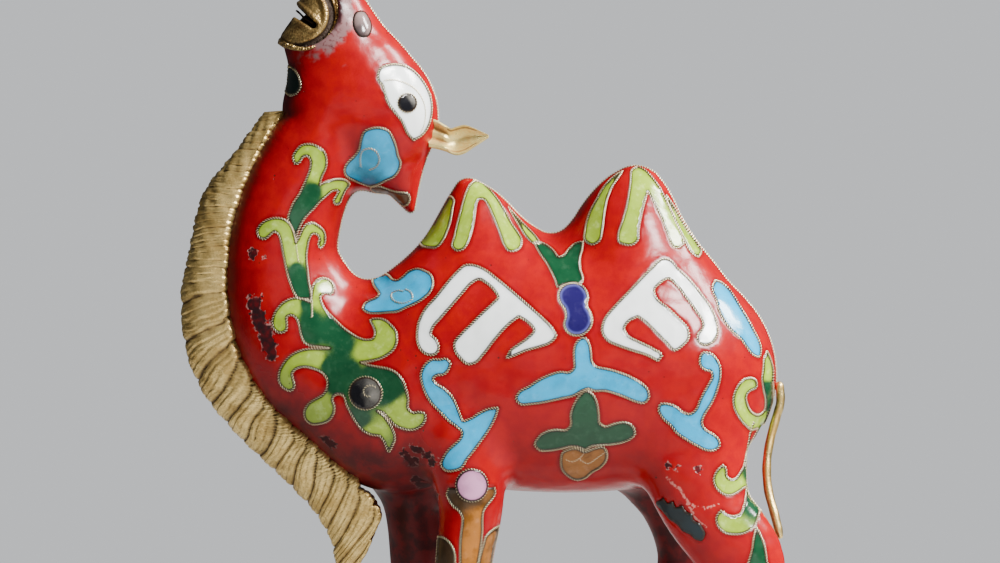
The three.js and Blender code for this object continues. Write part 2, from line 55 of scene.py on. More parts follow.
# %% A helper that turns points and faces into a piece
PIECES = {}
MIDDLE_X = 0.337  # from the drawing to the middle of the standing figurine


def make_piece(name, vertices, faces, replaces=(), values=None):
    """A smooth mesh from points in millimetres. values holds one number per point, by name."""
    mesh = bpy.data.meshes.new(name)
    standing = np.asarray(vertices) + [MIDDLE_X, 0, 0]
    mesh.from_pydata((standing * MM).tolist(), [], np.asarray(faces).tolist())
    for key, numbers in (values or {}).items():
        attribute = mesh.attributes.new(key, "FLOAT", "POINT")
        attribute.data.foreach_set("value", np.asarray(numbers, np.float32))
    mesh.shade_smooth()
    piece = bpy.data.objects.new(name, mesh)
    bpy.context.scene.collection.objects.link(piece)
    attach(piece, "root")
    if replaces:
        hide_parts(*replaces)
    PIECES[name] = piece
    print(f"{name}: {len(vertices)} points, {len(faces)} faces")
    return piece


# %% [markdown]
# ## The copper shell
#
# A stamped shell has no flat place and no sharp edge. It could be pushed and pulled out of a
# sphere, but here it is the zero level of a distance field. Each limb is a chain of stations that
# say where its axis runs and how thick it is, seen from the side and across, and the limbs are
# joined by soft fillets. The field answers two questions that the wires need later: where is the
# surface, and which way does it face?

# %% Stations of the limbs
# x and z of the axis, radius seen from the side, half width across, and y where it isn't the middle
SHIFT_X = -0.452  # from the stations to the drawing of the cells
SPAN_STEPS = 8
SOLE_REACH = 3.0
TRUNK = [
    (-13.1, 44.9, 13.1, 10.8),
    (-5.8, 50.5, 16.7, 12.9),
    (4.7, 51.2, 19.1, 14.4),
    (15.2, 50.5, 18.7, 14.7),
    (23.1, 50.4, 17.9, 14.4),
    (27.8, 49.5, 16.3, 13.8),
]
NECK = [
    (-8.7, 47.9, 12.9, 11.7),
    (-16.0, 48.1, 11.5, 10.5),
    (-23.1, 51.6, 11.9, 9.3),
    (-28.1, 58.4, 10.7, 8.5),
    (-30.4, 66.6, 8.9, 8.2),
    (-29.2, 74.3, 8.3, 8.1),
    (-26.3, 81.0, 7.7, 7.8),
    (-22.9, 87.7, 7.1, 7.5),
    (-21.9, 89.4, 8.4, 7.5),
]
HEAD = [
    (-23.6, 102.1, 7.1, 5.5),
    (-21.3, 97.2, 8.0, 6.6),
    (-17.9, 91.9, 9.0, 7.5),
    (-15.7, 88.1, 9.1, 7.5),
    (-15.9, 85.7, 8.4, 6.0),
    (-12.7, 79.8, 3.6, 3.6),
    (-10.9, 74.5, 0.8, 1.3),
]
FRONT_HUMP = [(0.6, 56.3, 13.8, 11.1), (-0.3, 66.6, 8.9, 7.2), (-1.3, 73.5, 4.8, 4.4), (-2.2, 76.8, 2.3, 2.4)]
REAR_HUMP = [(23.4, 59.0, 13.1, 11.1), (21.8, 69.5, 8.9, 7.6), (22.4, 74.0, 6.4, 5.4), (22.9, 76.4, 4.6, 3.6)]
LEFT_FORELEG = [
    (-3.0, 39.8, 6.6, 6.0, -6.9),
    (-1.8, 30.7, 5.0, 5.0, -7.9),
    (-2.8, 21.3, 4.3, 4.5, -8.4),
    (-3.2, 9.8, 3.9, 3.8, -8.4),
    (-3.3, 4.4, 3.7, 3.7, -8.4),
    (-3.9, 0.0, 4.9, 4.5, -8.4),
]
RIGHT_FORELEG = [
    (-9.7, 38.1, 9.2, 6.0, 6.9),
    (-10.6, 31.5, 5.1, 5.0, 7.9),
    (-9.5, 21.5, 4.7, 4.5, 8.4),
    (-10.2, 9.8, 3.9, 3.8, 8.4),
    (-10.3, 4.4, 3.7, 3.7, 8.4),
    (-10.9, 0.0, 4.9, 4.5, 8.4),
]
LEFT_HIND_LEG = [
    (30.4, 40.2, 9.0, 6.6, -6.6),
    (33.3, 29.8, 6.7, 5.4, -7.8),
    (39.0, 21.6, 6.0, 4.6, -8.4),
    (40.7, 16.0, 4.0, 4.3, -8.4),
    (39.8, 9.2, 3.8, 3.8, -8.4),
    (39.4, 4.4, 3.7, 3.7, -8.4),
    (38.9, 0.0, 4.9, 4.5, -8.4),
]
RIGHT_HIND_LEG = [
    (27.7, 39.0, 10.1, 6.6, 6.6),
    (30.1, 30.9, 6.7, 5.4, 7.8),
    (30.8, 22.8, 4.6, 4.6, 8.4),
    (30.6, 15.8, 4.7, 4.3, 8.4),
    (31.1, 9.2, 3.8, 3.8, 8.4),
    (31.0, 4.4, 3.7, 3.7, 8.4),
    (30.5, 0.0, 4.9, 4.5, 8.4),
]


# %% One smooth chain through the stations
def smooth_rows(rows, steps):
    """One cubic through every column of the rows, run by the distance between their points."""
    rows = np.asarray(rows, float)
    span = np.hypot(*np.diff(rows[:, :2], axis=0).T)[:, None]
    slope = np.diff(rows, axis=0) / span
    between = (slope[1:] * span[:-1] + slope[:-1] * span[1:]) / (span[:-1] + span[1:])
    tangent = np.vstack([slope[:1], between, slope[-1:]])
    u = (np.arange(steps) / steps)[:, None]
    out = []
    for i in range(len(rows) - 1):
        leave = tangent[i] * span[i] * (u**3 - 2 * u**2 + u)
        arrive = tangent[i + 1] * span[i] * (u**3 - u**2)
        out.append(rows[i] * (2 * u**3 - 3 * u**2 + 1) + rows[i + 1] * (3 * u**2 - 2 * u**3) + leave + arrive)
    return np.vstack([*out, rows[-1:]])


def make_limb(rows, foot=False):
    rows = np.array([[*row, 0.0][:5] for row in rows], float)
    rows[:, 0] += SHIFT_X
    if foot:
        below = rows[-1] - [0, SOLE_REACH, 0, 0, 0]
        rows = np.vstack([rows, below])
    return smooth_rows(rows, SPAN_STEPS)


NECK_FILLET, HEAD_FILLET, HUMP_FILLET, LEG_FILLET = 3.3, 2.1, 3.3, 2.7
LIMBS = [
    (make_limb(TRUNK), 0.0),
    (make_limb(NECK), NECK_FILLET),
    (make_limb(HEAD), HEAD_FILLET),
    (make_limb(FRONT_HUMP), HUMP_FILLET),
    (make_limb(REAR_HUMP), HUMP_FILLET),
]
for leg in (LEFT_FORELEG, RIGHT_FORELEG, LEFT_HIND_LEG, RIGHT_HIND_LEG):
    LIMBS.append((make_limb(leg, foot=True), LEG_FILLET))
print("limbs:", len(LIMBS), "spans:", sum(len(rows) - 1 for rows, _ in LIMBS))

# %% The distance field
NEAR = 5.0  # a limb is looked at only by points this near to it
FAR = 99.0
LEAST_SLOPE = 0.05  # squared, so that no step goes far where the field is nearly flat


def unit(rows):
    return rows / np.linalg.norm(rows, axis=1, keepdims=True)


def fade_in(value, start, width):
    """0 up to start, 1 from start + width on, and even between them."""
    return np.clip((value - start) / width, 0, 1)


def limb_field(rows, points):
    """Nearly the distance from each point to one limb, in millimetres, below zero inside it."""
    reach = rows[:, 2:4].max(1, keepdims=True) + NEAR
    axis = rows[:, [0, 4, 1]]
    near = np.all((points > (axis - reach).min(0)) & (points < (axis + reach).max(0)), axis=1)
    x, y, z = points[near].T
    best = np.full(len(x), FAR)
    for a, b in zip(rows[:-1], rows[1:]):
        dx, dz = b[0] - a[0], b[1] - a[1]
        along = np.clip(((x - a[0]) * dx + (z - a[1]) * dz) / (dx * dx + dz * dz), 0, 1)
        r = a[2] + along * (b[2] - a[2])
        w = a[3] + along * (b[3] - a[3])
        out = ((x - a[0] - along * dx) ** 2 + (z - a[1] - along * dz) ** 2) / (r * r)
        across = (y - a[4] - along * (b[4] - a[4])) / w
        best = np.minimum(best, (np.sqrt(out + across * across) - 1) * np.minimum(r, w))
    value = np.full(len(points), FAR)
    value[near] = best
    return value


def soft_union(a, b, fillet):
    if fillet == 0:
        return np.minimum(a, b)
    h = np.clip(0.5 + 0.5 * (b - a) / fillet, 0, 1)
    return b * (1 - h) + a * h - fillet * h * (1 - h)


def shell_field(points):
    value = np.full(len(points), FAR)
    for rows, fillet in LIMBS:
        value = soft_union(value, limb_field(rows, points), fillet)
    return value


def gradient(field, points, step=0.01):
    middle = field(points)
    ahead = [field(points + np.eye(3)[axis] * step) - middle for axis in range(3)]
    return middle, np.stack(ahead, 1) / step


def onto_surface(field, points, rounds=3):
    """Moves points straight onto the zero level and returns them with the way the surface faces."""
    for _ in range(rounds):
        value, slope = gradient(field, points)
        points = points - slope * (value / np.maximum((slope**2).sum(1), LEAST_SLOPE))[:, None]
    return points, unit(gradient(field, points)[1])


# %% [markdown]
# ## From a field to a mesh
#
# A net of quads is laid where the field changes sign: one point in each grid cell that the surface
# crosses, one quad across each grid edge that it crosses. That gives even quads all over, also
# where a leg meets the belly. The grid is first tried at a coarse step, so that the field is only
# worked out finely near the surface.

# %% Net of quads round the zero level
COARSE = 4  # fine steps in a coarse one
LOOK_INTO = 1.2  # coarse cells this near to the surface, in their own width, are worked out finely


def grid_points(axes):
    return np.stack(np.meshgrid(*axes, indexing="ij"), -1).reshape(-1, 3)


def values_near_surface(field, low, high, step):
    count = [int(math.ceil((b - a) / (step * COARSE))) * COARSE + 1 for a, b in zip(low, high)]
    axes = [a + step * np.arange(n) for a, n in zip(low, count)]
    coarse_axes = [axis[::COARSE] for axis in axes]
    coarse = field(grid_points(coarse_axes)).reshape([len(a) for a in coarse_axes])
    least = np.full([n - 1 for n in coarse.shape], FAR)
    for i, j, k in np.ndindex(2, 2, 2):
        part = coarse[i : i + least.shape[0], j : j + least.shape[1], k : k + least.shape[2]]
        least = np.minimum(least, np.abs(part))
    near = least < LOOK_INTO * COARSE * step
    value = coarse
    for axis in range(3):
        near = near.repeat(COARSE, axis)
        value = value.repeat(COARSE, axis)
    value = value[: count[0], : count[1], : count[2]].copy()
    marked = np.zeros(count, bool)
    for i, j, k in np.ndindex(2, 2, 2):
        marked[i : i + near.shape[0], j : j + near.shape[1], k : k + near.shape[2]] |= near
    where = np.argwhere(marked)
    places = np.stack([axis[where[:, n]] for n, axis in enumerate(axes)], 1)
    value[marked] = field(places)
    return axes, value


def net(field, low, high, step, relax=2):
    """Points, quads and facing of the zero level of the field inside a box."""
    axes, value = values_near_surface(field, low, high, step)
    inside = value < 0
    size = np.array(value.shape) - 1
    corners = list(np.ndindex(2, 2, 2))
    ways = np.eye(3, dtype=int)
    full = sum(inside[i : i + size[0], j : j + size[1], k : k + size[2]].astype(int) for i, j, k in corners)
    cells = np.argwhere((full > 0) & (full < 8))
    total = np.zeros((len(cells), 3))
    crossings = np.zeros(len(cells))
    for a in corners:
        for axis in range(3):
            if a[axis]:
                continue
            first = cells + a
            second = first + ways[axis]
            va, vb = value[tuple(first.T)], value[tuple(second.T)]
            crossed = (va < 0) != (vb < 0)
            t = np.where(crossed, va / np.where(crossed, va - vb, 1), 0)
            place = first.astype(float)
            place[:, axis] += t
            total += place * crossed[:, None]
            crossings += crossed
    points = np.array([axis[0] for axis in axes]) + step * total / crossings[:, None]
    number = np.full(size, -1)
    number[tuple(cells.T)] = np.arange(len(cells))
    quads = []
    around = ((1, 1), (0, 1), (0, 0), (1, 0))
    for axis in range(3):
        u, v = ways[(axis + 1) % 3], ways[(axis + 2) % 3]
        here = inside[tuple(slice(0, -1) if n == axis else slice(1, -1) for n in range(3))]
        there = inside[tuple(slice(1, None) if n == axis else slice(1, -1) for n in range(3))]
        edge = np.argwhere(here != there)
        leaving = here[tuple(edge.T)]
        edge = edge + 1 - ways[axis]
        quad = np.stack([number[tuple((edge - a * u - b * v).T)] for a, b in around], 1)
        quad[~leaving] = quad[~leaving][:, ::-1]
        quads.append(quad)
    quads = np.vstack(quads)
    for _ in range(relax):
        points = onto_surface(field, points, 1)[0]
        points = 0.5 * points + 0.5 * neighbour_mean(points, quads)
    points, facing = onto_surface(field, points)
    return points, quads, facing


def neighbour_mean(points, faces):
    total = np.zeros_like(points)
    count = np.zeros(len(points))
    for shift in (1, -1):
        other = np.roll(faces, shift, axis=1)
        np.add.at(total, faces.ravel(), points[other.ravel()])
        np.add.at(count, faces.ravel(), 1)
    return total / np.maximum(count, 1)[:, None]


# %% Lay the net on the shell
SHELL_STEP = 0.5
SHELL_LOW, SHELL_HIGH = (-45, -17, -2), (46, 17, 111)
SEAT_X, SEAT_Z = -27.1 + SHIFT_X, 104.0  # the muzzle sits on the face along a round cut
SEAT_RADIUS = 6.1
TUCKED_IN = 0.7  # the enamel runs on under the collar of the muzzle


def cut_shell(points):
    seat = SEAT_RADIUS - TUCKED_IN - np.hypot(points[:, 0] - SEAT_X, points[:, 2] - SEAT_Z)
    return np.maximum.reduce([shell_field(points), seat, -points[:, 2]])


shell_points, shell_quads, shell_facing = net(cut_shell, SHELL_LOW, SHELL_HIGH, SHELL_STEP)
shell_tree = BVHTree.FromPolygons(shell_points.tolist(), shell_quads.tolist())
print("shell net:", len(shell_points), "points,", len(shell_quads), "quads")

# %% [markdown]
# ## Setting out the drawing
#
# The maker bends each wire to a drawing and stands it on the copper. The drawing here is flat: every
# outline is a list of the few points that its shape needs, x and z in millimetres, as the left
# flank is seen from in front. A third number, 1, marks a sharp corner. A helper draws a smooth curve
# through the points, and another carries it onto the shell along the line of sight, so that
# the outlines keep their shape in that view. A point that looks past the body goes to the nearest
# place on it.

# %% Smooth curves and even steps
EYE_X, EYE_Z, EYE_DISTANCE = 2.1, 63.5, 900.0


def resample(points, spacing, closed):
    if closed:
        points = np.vstack([points, points[:1]])
    stride = np.linalg.norm(np.diff(points[:, :3], axis=0), axis=1)
    points = points[np.r_[True, stride > 1e-6]]
    gone = np.r_[0, np.cumsum(stride[stride > 1e-6])]
    count = max(3, round(gone[-1] / spacing))
    at = np.linspace(0, gone[-1], count + 1)
    out = np.stack([np.interp(at, gone, column) for column in points.T], 1)
    return out[:-1] if closed else out


def curve(outline, closed=True, spacing=0.1):
    """Smooth curve through the points of an outline, in even steps. It turns sharply at corners."""
    points = [np.array(p[:2], float) for p in outline]
    corners = [i for i, p in enumerate(outline) if len(p) > 2]
    if closed and not corners:
        lap = 3  # the curve goes on for three points over the place where it closes
        around = np.array(points[-lap:] + points + points[:lap])
        smooth = smooth_rows(around, SPAN_STEPS)[lap * SPAN_STEPS : (lap + len(points)) * SPAN_STEPS]
        return resample(smooth, spacing, True)
    if closed:
        turn = corners[0]
        points = points[turn:] + points[:turn] + [points[turn]]
        corners = [c - turn for c in corners] + [len(points) - 1]
    else:
        corners = sorted({0, *corners, len(points) - 1})
    runs = [smooth_rows(points[a : b + 1], SPAN_STEPS)[:-1] for a, b in zip(corners[:-1], corners[1:])]
    if not closed:
        runs.append(np.array(points[-1:]))
    return resample(np.vstack(runs), spacing, closed)


# %% Carry flat points onto a flank
LEFT, RIGHT = -1, 1
LEG_MIDDLE = 8.4  # how far the legs stand from the middle plane
LEGS_BELOW = 42.0
NEAR_MIDDLE = 0.3  # where a point that looks past the trunk or the head starts its search
BESIDE = 1.5  # what lies this far over the middle plane belongs to the other leg


def nearest_facing(index, place):
    corners = shell_quads[index]
    weight = 1 / (np.linalg.norm(shell_points[corners] - place, axis=1) + 0.01) ** 2
    facing = (shell_facing[corners] * weight[:, None]).sum(0)
    return facing / np.linalg.norm(facing)


def on_flank(flat, side):
    """Places on the shell and the way it faces there, for points of the drawing.

    A point that lies beside the leg of this flank goes to the nearest edge of that leg.
    """
    eye = Vector((EYE_X, side * EYE_DISTANCE, EYE_Z))
    places, facings = [], []
    for x, z in flat:
        middle = Vector((x, 0, z))
        place, _, index, _ = shell_tree.ray_cast(eye, (middle - eye).normalized(), EYE_DISTANCE)
        if index is None or place.y * side < -BESIDE:
            aside = LEG_MIDDLE if z < LEGS_BELOW else NEAR_MIDDLE
            place, _, index, _ = shell_tree.find_nearest(Vector((x, side * aside, z)))
        places.append(place)
        facings.append(nearest_facing(index, np.array(place)))
    return np.array(places), np.array(facings)


# %% Things set down on the drawing
# A cell is a closed wire filled with enamel. Its tone runs from 0 to 1 between the two colours of
# its enamel, either one number or a few spots x, z, tone. What is on a leg moves by `far` on the
# other flank, where that leg stands elsewhere.
CELLS = []
WIRES = []


def add_wire(points, far=0.0, closed=False, radius=1.0):
    WIRES.append({"path": curve(points, closed), "far": far, "closed": closed, "radius": radius})


def add_cell(points, enamel, tone=0.0, far=0.0, lift=0.0, crown=0.0, wire=True):
    """With a crown, the glass is a drop that stands up from the ground."""
    path = curve(points)
    CELLS.append({"path": path, "enamel": enamel, "tone": tone, "far": far, "lift": lift, "crown": crown})
    if wire:
        add_wire(points, far, closed=True)


def circle(x, z, radius, points=12):
    turns = [2 * math.pi * i / points for i in range(points)]
    return [(x + radius * math.cos(t), z + radius * math.sin(t)) for t in turns]


# %% [markdown]
# ### The head
#
# A white eye with a black pupil, a curled turquoise cloud on the cheek and a dark point of the nape.

# %% Eye, cheek and nape
EYE_WHITE = [
    (-16.2, 94.3), (-15.9, 95.4), (-14.7, 96.0), (-12.9, 96.1), (-11.1, 95.4), (-9.8, 94.2),
    (-8.7, 92.5), (-8.1, 90.8), (-8.0, 89.0), (-8.4, 87.1), (-9.3, 85.6), (-10.8, 84.6, 1),
    (-11.7, 85.6), (-12.6, 87.5), (-13.8, 89.0), (-14.7, 90.3), (-15.2, 91.8), (-15.6, 93.1, 1),
    (-16.1, 93.6),
]
EYE_LID = [
    (-15.5, 93.6), (-14.1, 93.8), (-12.6, 93.5), (-11.1, 92.8), (-9.9, 91.6), (-9.2, 90.1),
    (-9.0, 88.6), (-9.2, 87.1), (-9.8, 85.6),
]
PUPIL_X, PUPIL_Z, PUPIL_RADIUS = -11.75, 90.3, 1.45
CHEEK_CLOUD = [
    (-18.2, 86.0), (-17.3, 86.4), (-15.9, 86.5), (-14.7, 86.1), (-14.0, 85.0), (-13.5, 83.7),
    (-13.2, 82.3), (-12.8, 81.3), (-13.1, 80.1), (-13.8, 79.2), (-15.0, 78.6), (-16.1, 78.0),
    (-17.4, 77.7), (-18.8, 78.1), (-19.8, 78.6), (-20.9, 79.3), (-21.2, 80.2), (-20.7, 81.3),
    (-19.8, 82.2), (-19.1, 83.2), (-18.8, 84.5), (-18.6, 85.3),
]
CHEEK_SWIRL = [
    (-18.8, 80.5), (-18.9, 81.9), (-18.6, 83.0), (-17.7, 83.4), (-16.7, 83.1), (-16.1, 82.2),
    (-16.1, 81.3), (-16.7, 80.5), (-17.6, 80.2),
]
NAPE_PATCH = [
    (-17.4, 77.4), (-16.2, 77.7), (-14.7, 77.2), (-13.1, 76.8), (-11.6, 76.5), (-11.4, 75.6),
    (-12.3, 74.8), (-13.8, 75.6), (-15.3, 76.2), (-16.8, 76.8),
]
THROAT_PATCH = [
    (-30.5, 95.2), (-29.7, 95.8), (-28.8, 95.2), (-28.1, 94.0), (-27.9, 92.7), (-28.5, 91.8),
    (-29.6, 91.5), (-30.3, 92.2), (-30.8, 93.8),
]
add_cell(EYE_WHITE, "white")
add_wire(EYE_LID)
PUPIL_TONES = [(PUPIL_X - 0.5, PUPIL_Z - 0.3, 0.0), (PUPIL_X + 1.1, PUPIL_Z + 0.9, 0.7)]
OVER_A_CELL = 0.05  # a cell inside another is filled a little higher
add_cell(circle(PUPIL_X, PUPIL_Z, PUPIL_RADIUS), "dark", PUPIL_TONES, lift=OVER_A_CELL)
CHEEK_TONES = [(-16.0, 85.5, 0), (-14.5, 82.5, 0), (-17.5, 82.0, 0.2), (-17.5, 79.0, 0.6), (-20.2, 80.3, 0.6)]
add_cell(CHEEK_CLOUD, "turquoise", CHEEK_TONES)
add_wire(CHEEK_SWIRL)
add_cell(NAPE_PATCH, "ochre", 0.7)
add_cell(THROAT_PATCH, "teal", 1.0)
LUMP = [(-20.0, 102.8), (-19.5, 104.0), (-18.3, 104.2), (-17.3, 103.0), (-17.0, 101.5), (-17.6, 100.3)]
LUMP += [(-18.8, 100.2), (-19.7, 101.2)]
LUMP_TONES = [(-18.6, 103.6, 0.9), (-17.5, 101.4, 0.7), (-19.0, 101.0, 0.0), (-19.6, 102.4, 0.5)]
add_cell(LUMP, "smoky", LUMP_TONES, crown=0.45, wire=False)

# %% [markdown]
# ### The leaf scroll on the neck
#
# One scroll climbs the whole neck. Every curl is lime and every stem a dark green, and the two
# frits are laid side by side in the same cell, so they run into each other without a wire.

# %% Leaf scroll
SCROLL_TOP = [
    (-28.5, 81.1), (-29.0, 82.2), (-28.5, 83.2), (-27.6, 84.0), (-26.4, 84.1), (-25.2, 83.7),
    (-24.3, 83.0), (-23.9, 81.9), (-24.0, 80.5), (-24.6, 79.2), (-24.9, 78.0, 1), (-23.7, 78.5),
    (-22.2, 78.8), (-21.0, 78.6), (-20.4, 78.0), (-21.0, 77.1), (-21.5, 76.0), (-21.9, 75.1),
    (-22.5, 75.0), (-22.8, 75.5), (-22.4, 76.3), (-22.1, 77.1), (-22.8, 77.1), (-23.9, 76.3),
    (-24.8, 75.5), (-25.7, 74.5), (-26.6, 73.6), (-27.3, 72.8), (-27.9, 71.7), (-28.4, 70.3),
    (-28.5, 69.3, 1), (-28.8, 70.8), (-29.4, 72.0), (-29.7, 73.0), (-29.3, 74.4), (-28.8, 75.5),
    (-28.1, 76.5), (-27.5, 77.7), (-26.9, 79.0), (-26.4, 80.4), (-26.3, 81.6), (-26.7, 82.3),
    (-27.5, 82.2), (-27.9, 81.5),
]
SCROLL_STEM = [
    (-28.5, 69.3, 1), (-28.1, 70.0), (-27.6, 71.1), (-27.0, 72.0), (-26.1, 72.3), (-25.1, 71.8),
    (-24.3, 71.1), (-24.0, 70.0), (-24.2, 69.0), (-24.8, 68.5), (-25.1, 69.1), (-24.9, 69.9),
    (-25.4, 70.6), (-26.0, 70.6), (-26.4, 70.0), (-26.7, 68.8), (-26.9, 67.0), (-26.7, 65.2),
    (-26.6, 63.8), (-26.3, 62.2), (-26.1, 60.8, 1), (-27.2, 60.9), (-28.2, 60.9, 1), (-28.8, 61.8),
    (-29.4, 63.3), (-29.9, 65.0), (-30.2, 66.5), (-30.5, 68.0), (-30.8, 69.6), (-31.1, 70.5),
    (-31.7, 71.0), (-32.4, 70.5), (-33.2, 69.9), (-34.1, 70.2), (-34.4, 71.1), (-33.6, 72.3),
    (-32.4, 72.9), (-31.1, 73.0), (-29.9, 72.6), (-29.1, 71.5), (-28.7, 70.3),
]
SCROLL_BODY = [
    (-26.3, 60.4, 1), (-27.5, 60.9), (-28.8, 61.0), (-30.0, 60.6), (-31.1, 59.7), (-31.8, 58.6),
    (-32.1, 57.4), (-31.7, 56.2), (-30.8, 55.8), (-30.0, 56.2), (-29.9, 57.3), (-29.9, 58.2),
    (-29.3, 58.5), (-28.5, 58.0), (-28.1, 57.0), (-27.8, 55.6), (-27.3, 54.4), (-26.4, 53.9),
    (-24.9, 53.7), (-23.4, 53.5, 1), (-24.9, 53.4), (-26.4, 53.4), (-27.9, 53.1), (-29.3, 52.4),
    (-30.5, 51.1), (-31.1, 49.8), (-31.1, 48.4), (-30.3, 47.4), (-29.3, 47.1), (-28.8, 47.7),
    (-29.0, 48.8), (-29.1, 49.8), (-28.5, 50.4), (-27.2, 50.7), (-25.8, 50.4), (-24.6, 49.8),
    (-23.9, 48.8), (-23.9, 47.5), (-24.5, 46.5), (-25.7, 45.8), (-26.7, 45.1), (-27.3, 44.1),
    (-27.2, 42.9), (-26.3, 42.1), (-25.1, 42.1), (-23.7, 42.6), (-23.0, 43.5), (-22.8, 44.7),
    (-23.1, 45.8), (-22.8, 46.4), (-22.2, 46.6), (-21.5, 46.4), (-21.0, 45.1), (-20.4, 43.8),
    (-19.5, 42.3), (-18.5, 41.1), (-17.3, 40.5), (-15.9, 40.2), (-15.3, 39.4), (-14.9, 38.4),
    (-14.6, 37.8, 1), (-14.1, 38.7), (-13.7, 39.9), (-14.0, 41.2), (-14.7, 42.4), (-15.6, 43.5),
    (-16.4, 44.1, 1), (-15.5, 43.8), (-14.7, 43.0), (-13.8, 42.0), (-12.6, 41.4), (-11.1, 41.2),
    (-9.9, 41.7), (-9.2, 42.6), (-9.2, 43.6), (-9.9, 43.9), (-11.0, 43.8), (-11.7, 44.4),
    (-11.7, 45.8), (-12.0, 47.2), (-12.6, 48.8), (-13.5, 49.8), (-14.7, 50.4), (-16.2, 50.7),
    (-17.7, 51.0), (-18.9, 51.4, 1), (-17.4, 51.6), (-16.1, 51.9), (-14.9, 52.5), (-13.8, 53.5),
    (-13.4, 54.8), (-13.5, 55.9), (-14.3, 57.0), (-15.3, 57.8), (-16.5, 58.0), (-17.4, 57.8),
    (-17.0, 56.9), (-16.7, 55.8), (-17.0, 55.0), (-17.9, 54.8), (-18.9, 55.0), (-20.3, 55.8),
    (-21.5, 56.7), (-22.7, 57.9), (-23.9, 59.1), (-24.6, 60.3), (-24.8, 61.3), (-24.0, 61.8),
    (-23.3, 61.6), (-22.8, 62.4), (-23.1, 63.4), (-24.0, 64.0), (-25.1, 63.9), (-25.8, 63.1),
    (-26.1, 61.9),
]
SCROLL_MIDRIB = [
    (-28.5, 69.3), (-28.4, 68.2), (-28.2, 67.0), (-28.1, 66.3),
]
SCROLL_DIVIDER = [
    (-26.1, 60.8), (-26.1, 59.4), (-26.1, 58.0),
]


def tones(lime=(), green=()):
    return [(x, z, 0.0) for x, z in lime] + [(x, z, 1.0) for x, z in green]


TOP_LIME = [(-28.5, 82.5), (-26.4, 83.7), (-24.2, 81.8), (-25.2, 79.5), (-23.4, 77.5), (-21.2, 77.2)]
TOP_GREEN = [(-27.2, 75.8), (-28.4, 72.0), (-25.7, 77.2)]
STEM_LIME = [(-33.6, 71.2), (-30.9, 72.1), (-29.3, 70.2), (-30.2, 68.2), (-29.2, 67.3), (-27.6, 68.8)]
STEM_LIME += [(-26.1, 71.5), (-24.5, 69.8), (-27.6, 67.5)]
STEM_GREEN = [(-28.4, 65.6), (-27.5, 63.0), (-28.4, 64.3)]
BODY_LIME = [(-31.2, 57.0), (-30.6, 59.5), (-28.8, 59.9), (-27.9, 52.0), (-30.2, 49.5), (-25.4, 51.8)]
BODY_LIME += [(-25.7, 43.9), (-24.6, 45.4), (-16.7, 52.9), (-14.4, 54.8), (-15.9, 57.0), (-18.3, 52.9)]
BODY_LIME += [(-12.2, 43.0), (-9.9, 42.8), (-12.9, 44.2), (-17.0, 40.6), (-24.9, 63.0), (-25.4, 60.8)]
BODY_GREEN = [(-27.0, 60.0), (-26.6, 58.0), (-26.1, 55.5), (-23.4, 56.2), (-21.2, 54.0), (-23.9, 51.0)]
BODY_GREEN += [(-16.9, 49.9), (-15.3, 49.6), (-21.9, 50.2), (-23.0, 48.0), (-13.7, 48.0), (-20.4, 50.2)]
BODY_GREEN += [(-18.9, 42.8), (-14.7, 46.5)]
add_cell(SCROLL_TOP, "leaf", tones(TOP_LIME, TOP_GREEN))
add_cell(SCROLL_STEM, "leaf", tones(STEM_LIME, STEM_GREEN))
add_cell(SCROLL_BODY, "leaf", tones(BODY_LIME, BODY_GREEN) + [(-14.7, 39.0, 0.5)])
add_wire(SCROLL_MIDRIB)
add_wire(SCROLL_DIVIDER)
ROUNDEL_X, ROUNDEL_Z, ROUNDEL_RADIUS = -18.1, 46.75, 2.45
CURL_X, CURL_Z = ROUNDEL_X + 0.6, ROUNDEL_Z + 0.1
CURL_OUT, CURL_IN, CURL_TURNS, CURL_START = 1.35, 0.55, 0.8, 0.5
CURL_HEIGHT = 0.9  # of its width


def spiral(x, z, outer, inner, turns, start, steps=9):
    count = round(turns * steps)
    points = []
    for i in range(count + 1):
        turn = start + 2 * math.pi * i / steps
        radius = outer + (inner - outer) * i / count
        points.append((x + radius * math.cos(turn), z + CURL_HEIGHT * radius * math.sin(turn)))
    return points


ROUNDEL_TONES = [(-19.6, 46.9, 0.0), (-18.9, 45.2, 0.05), (-19.0, 48.4, 0.3), (-16.9, 46.4, 0.75)]
ROUNDEL_TONES += [(-17.2, 48.0, 0.6), (-18.1, 46.7, 0.35), (-17.6, 45.2, 0.4)]
add_cell(circle(ROUNDEL_X, ROUNDEL_Z, ROUNDEL_RADIUS), "dark", ROUNDEL_TONES, lift=OVER_A_CELL)
add_wire(spiral(CURL_X, CURL_Z, CURL_OUT, CURL_IN, CURL_TURNS, CURL_START))

# %% [markdown]
# ### Shoulder, frets and hooks
#
# A cloud sits where the neck meets the shoulder. Each side of the barrel has a white fret, and
# below them hang hooked ribbons and two trefoils with a bud.

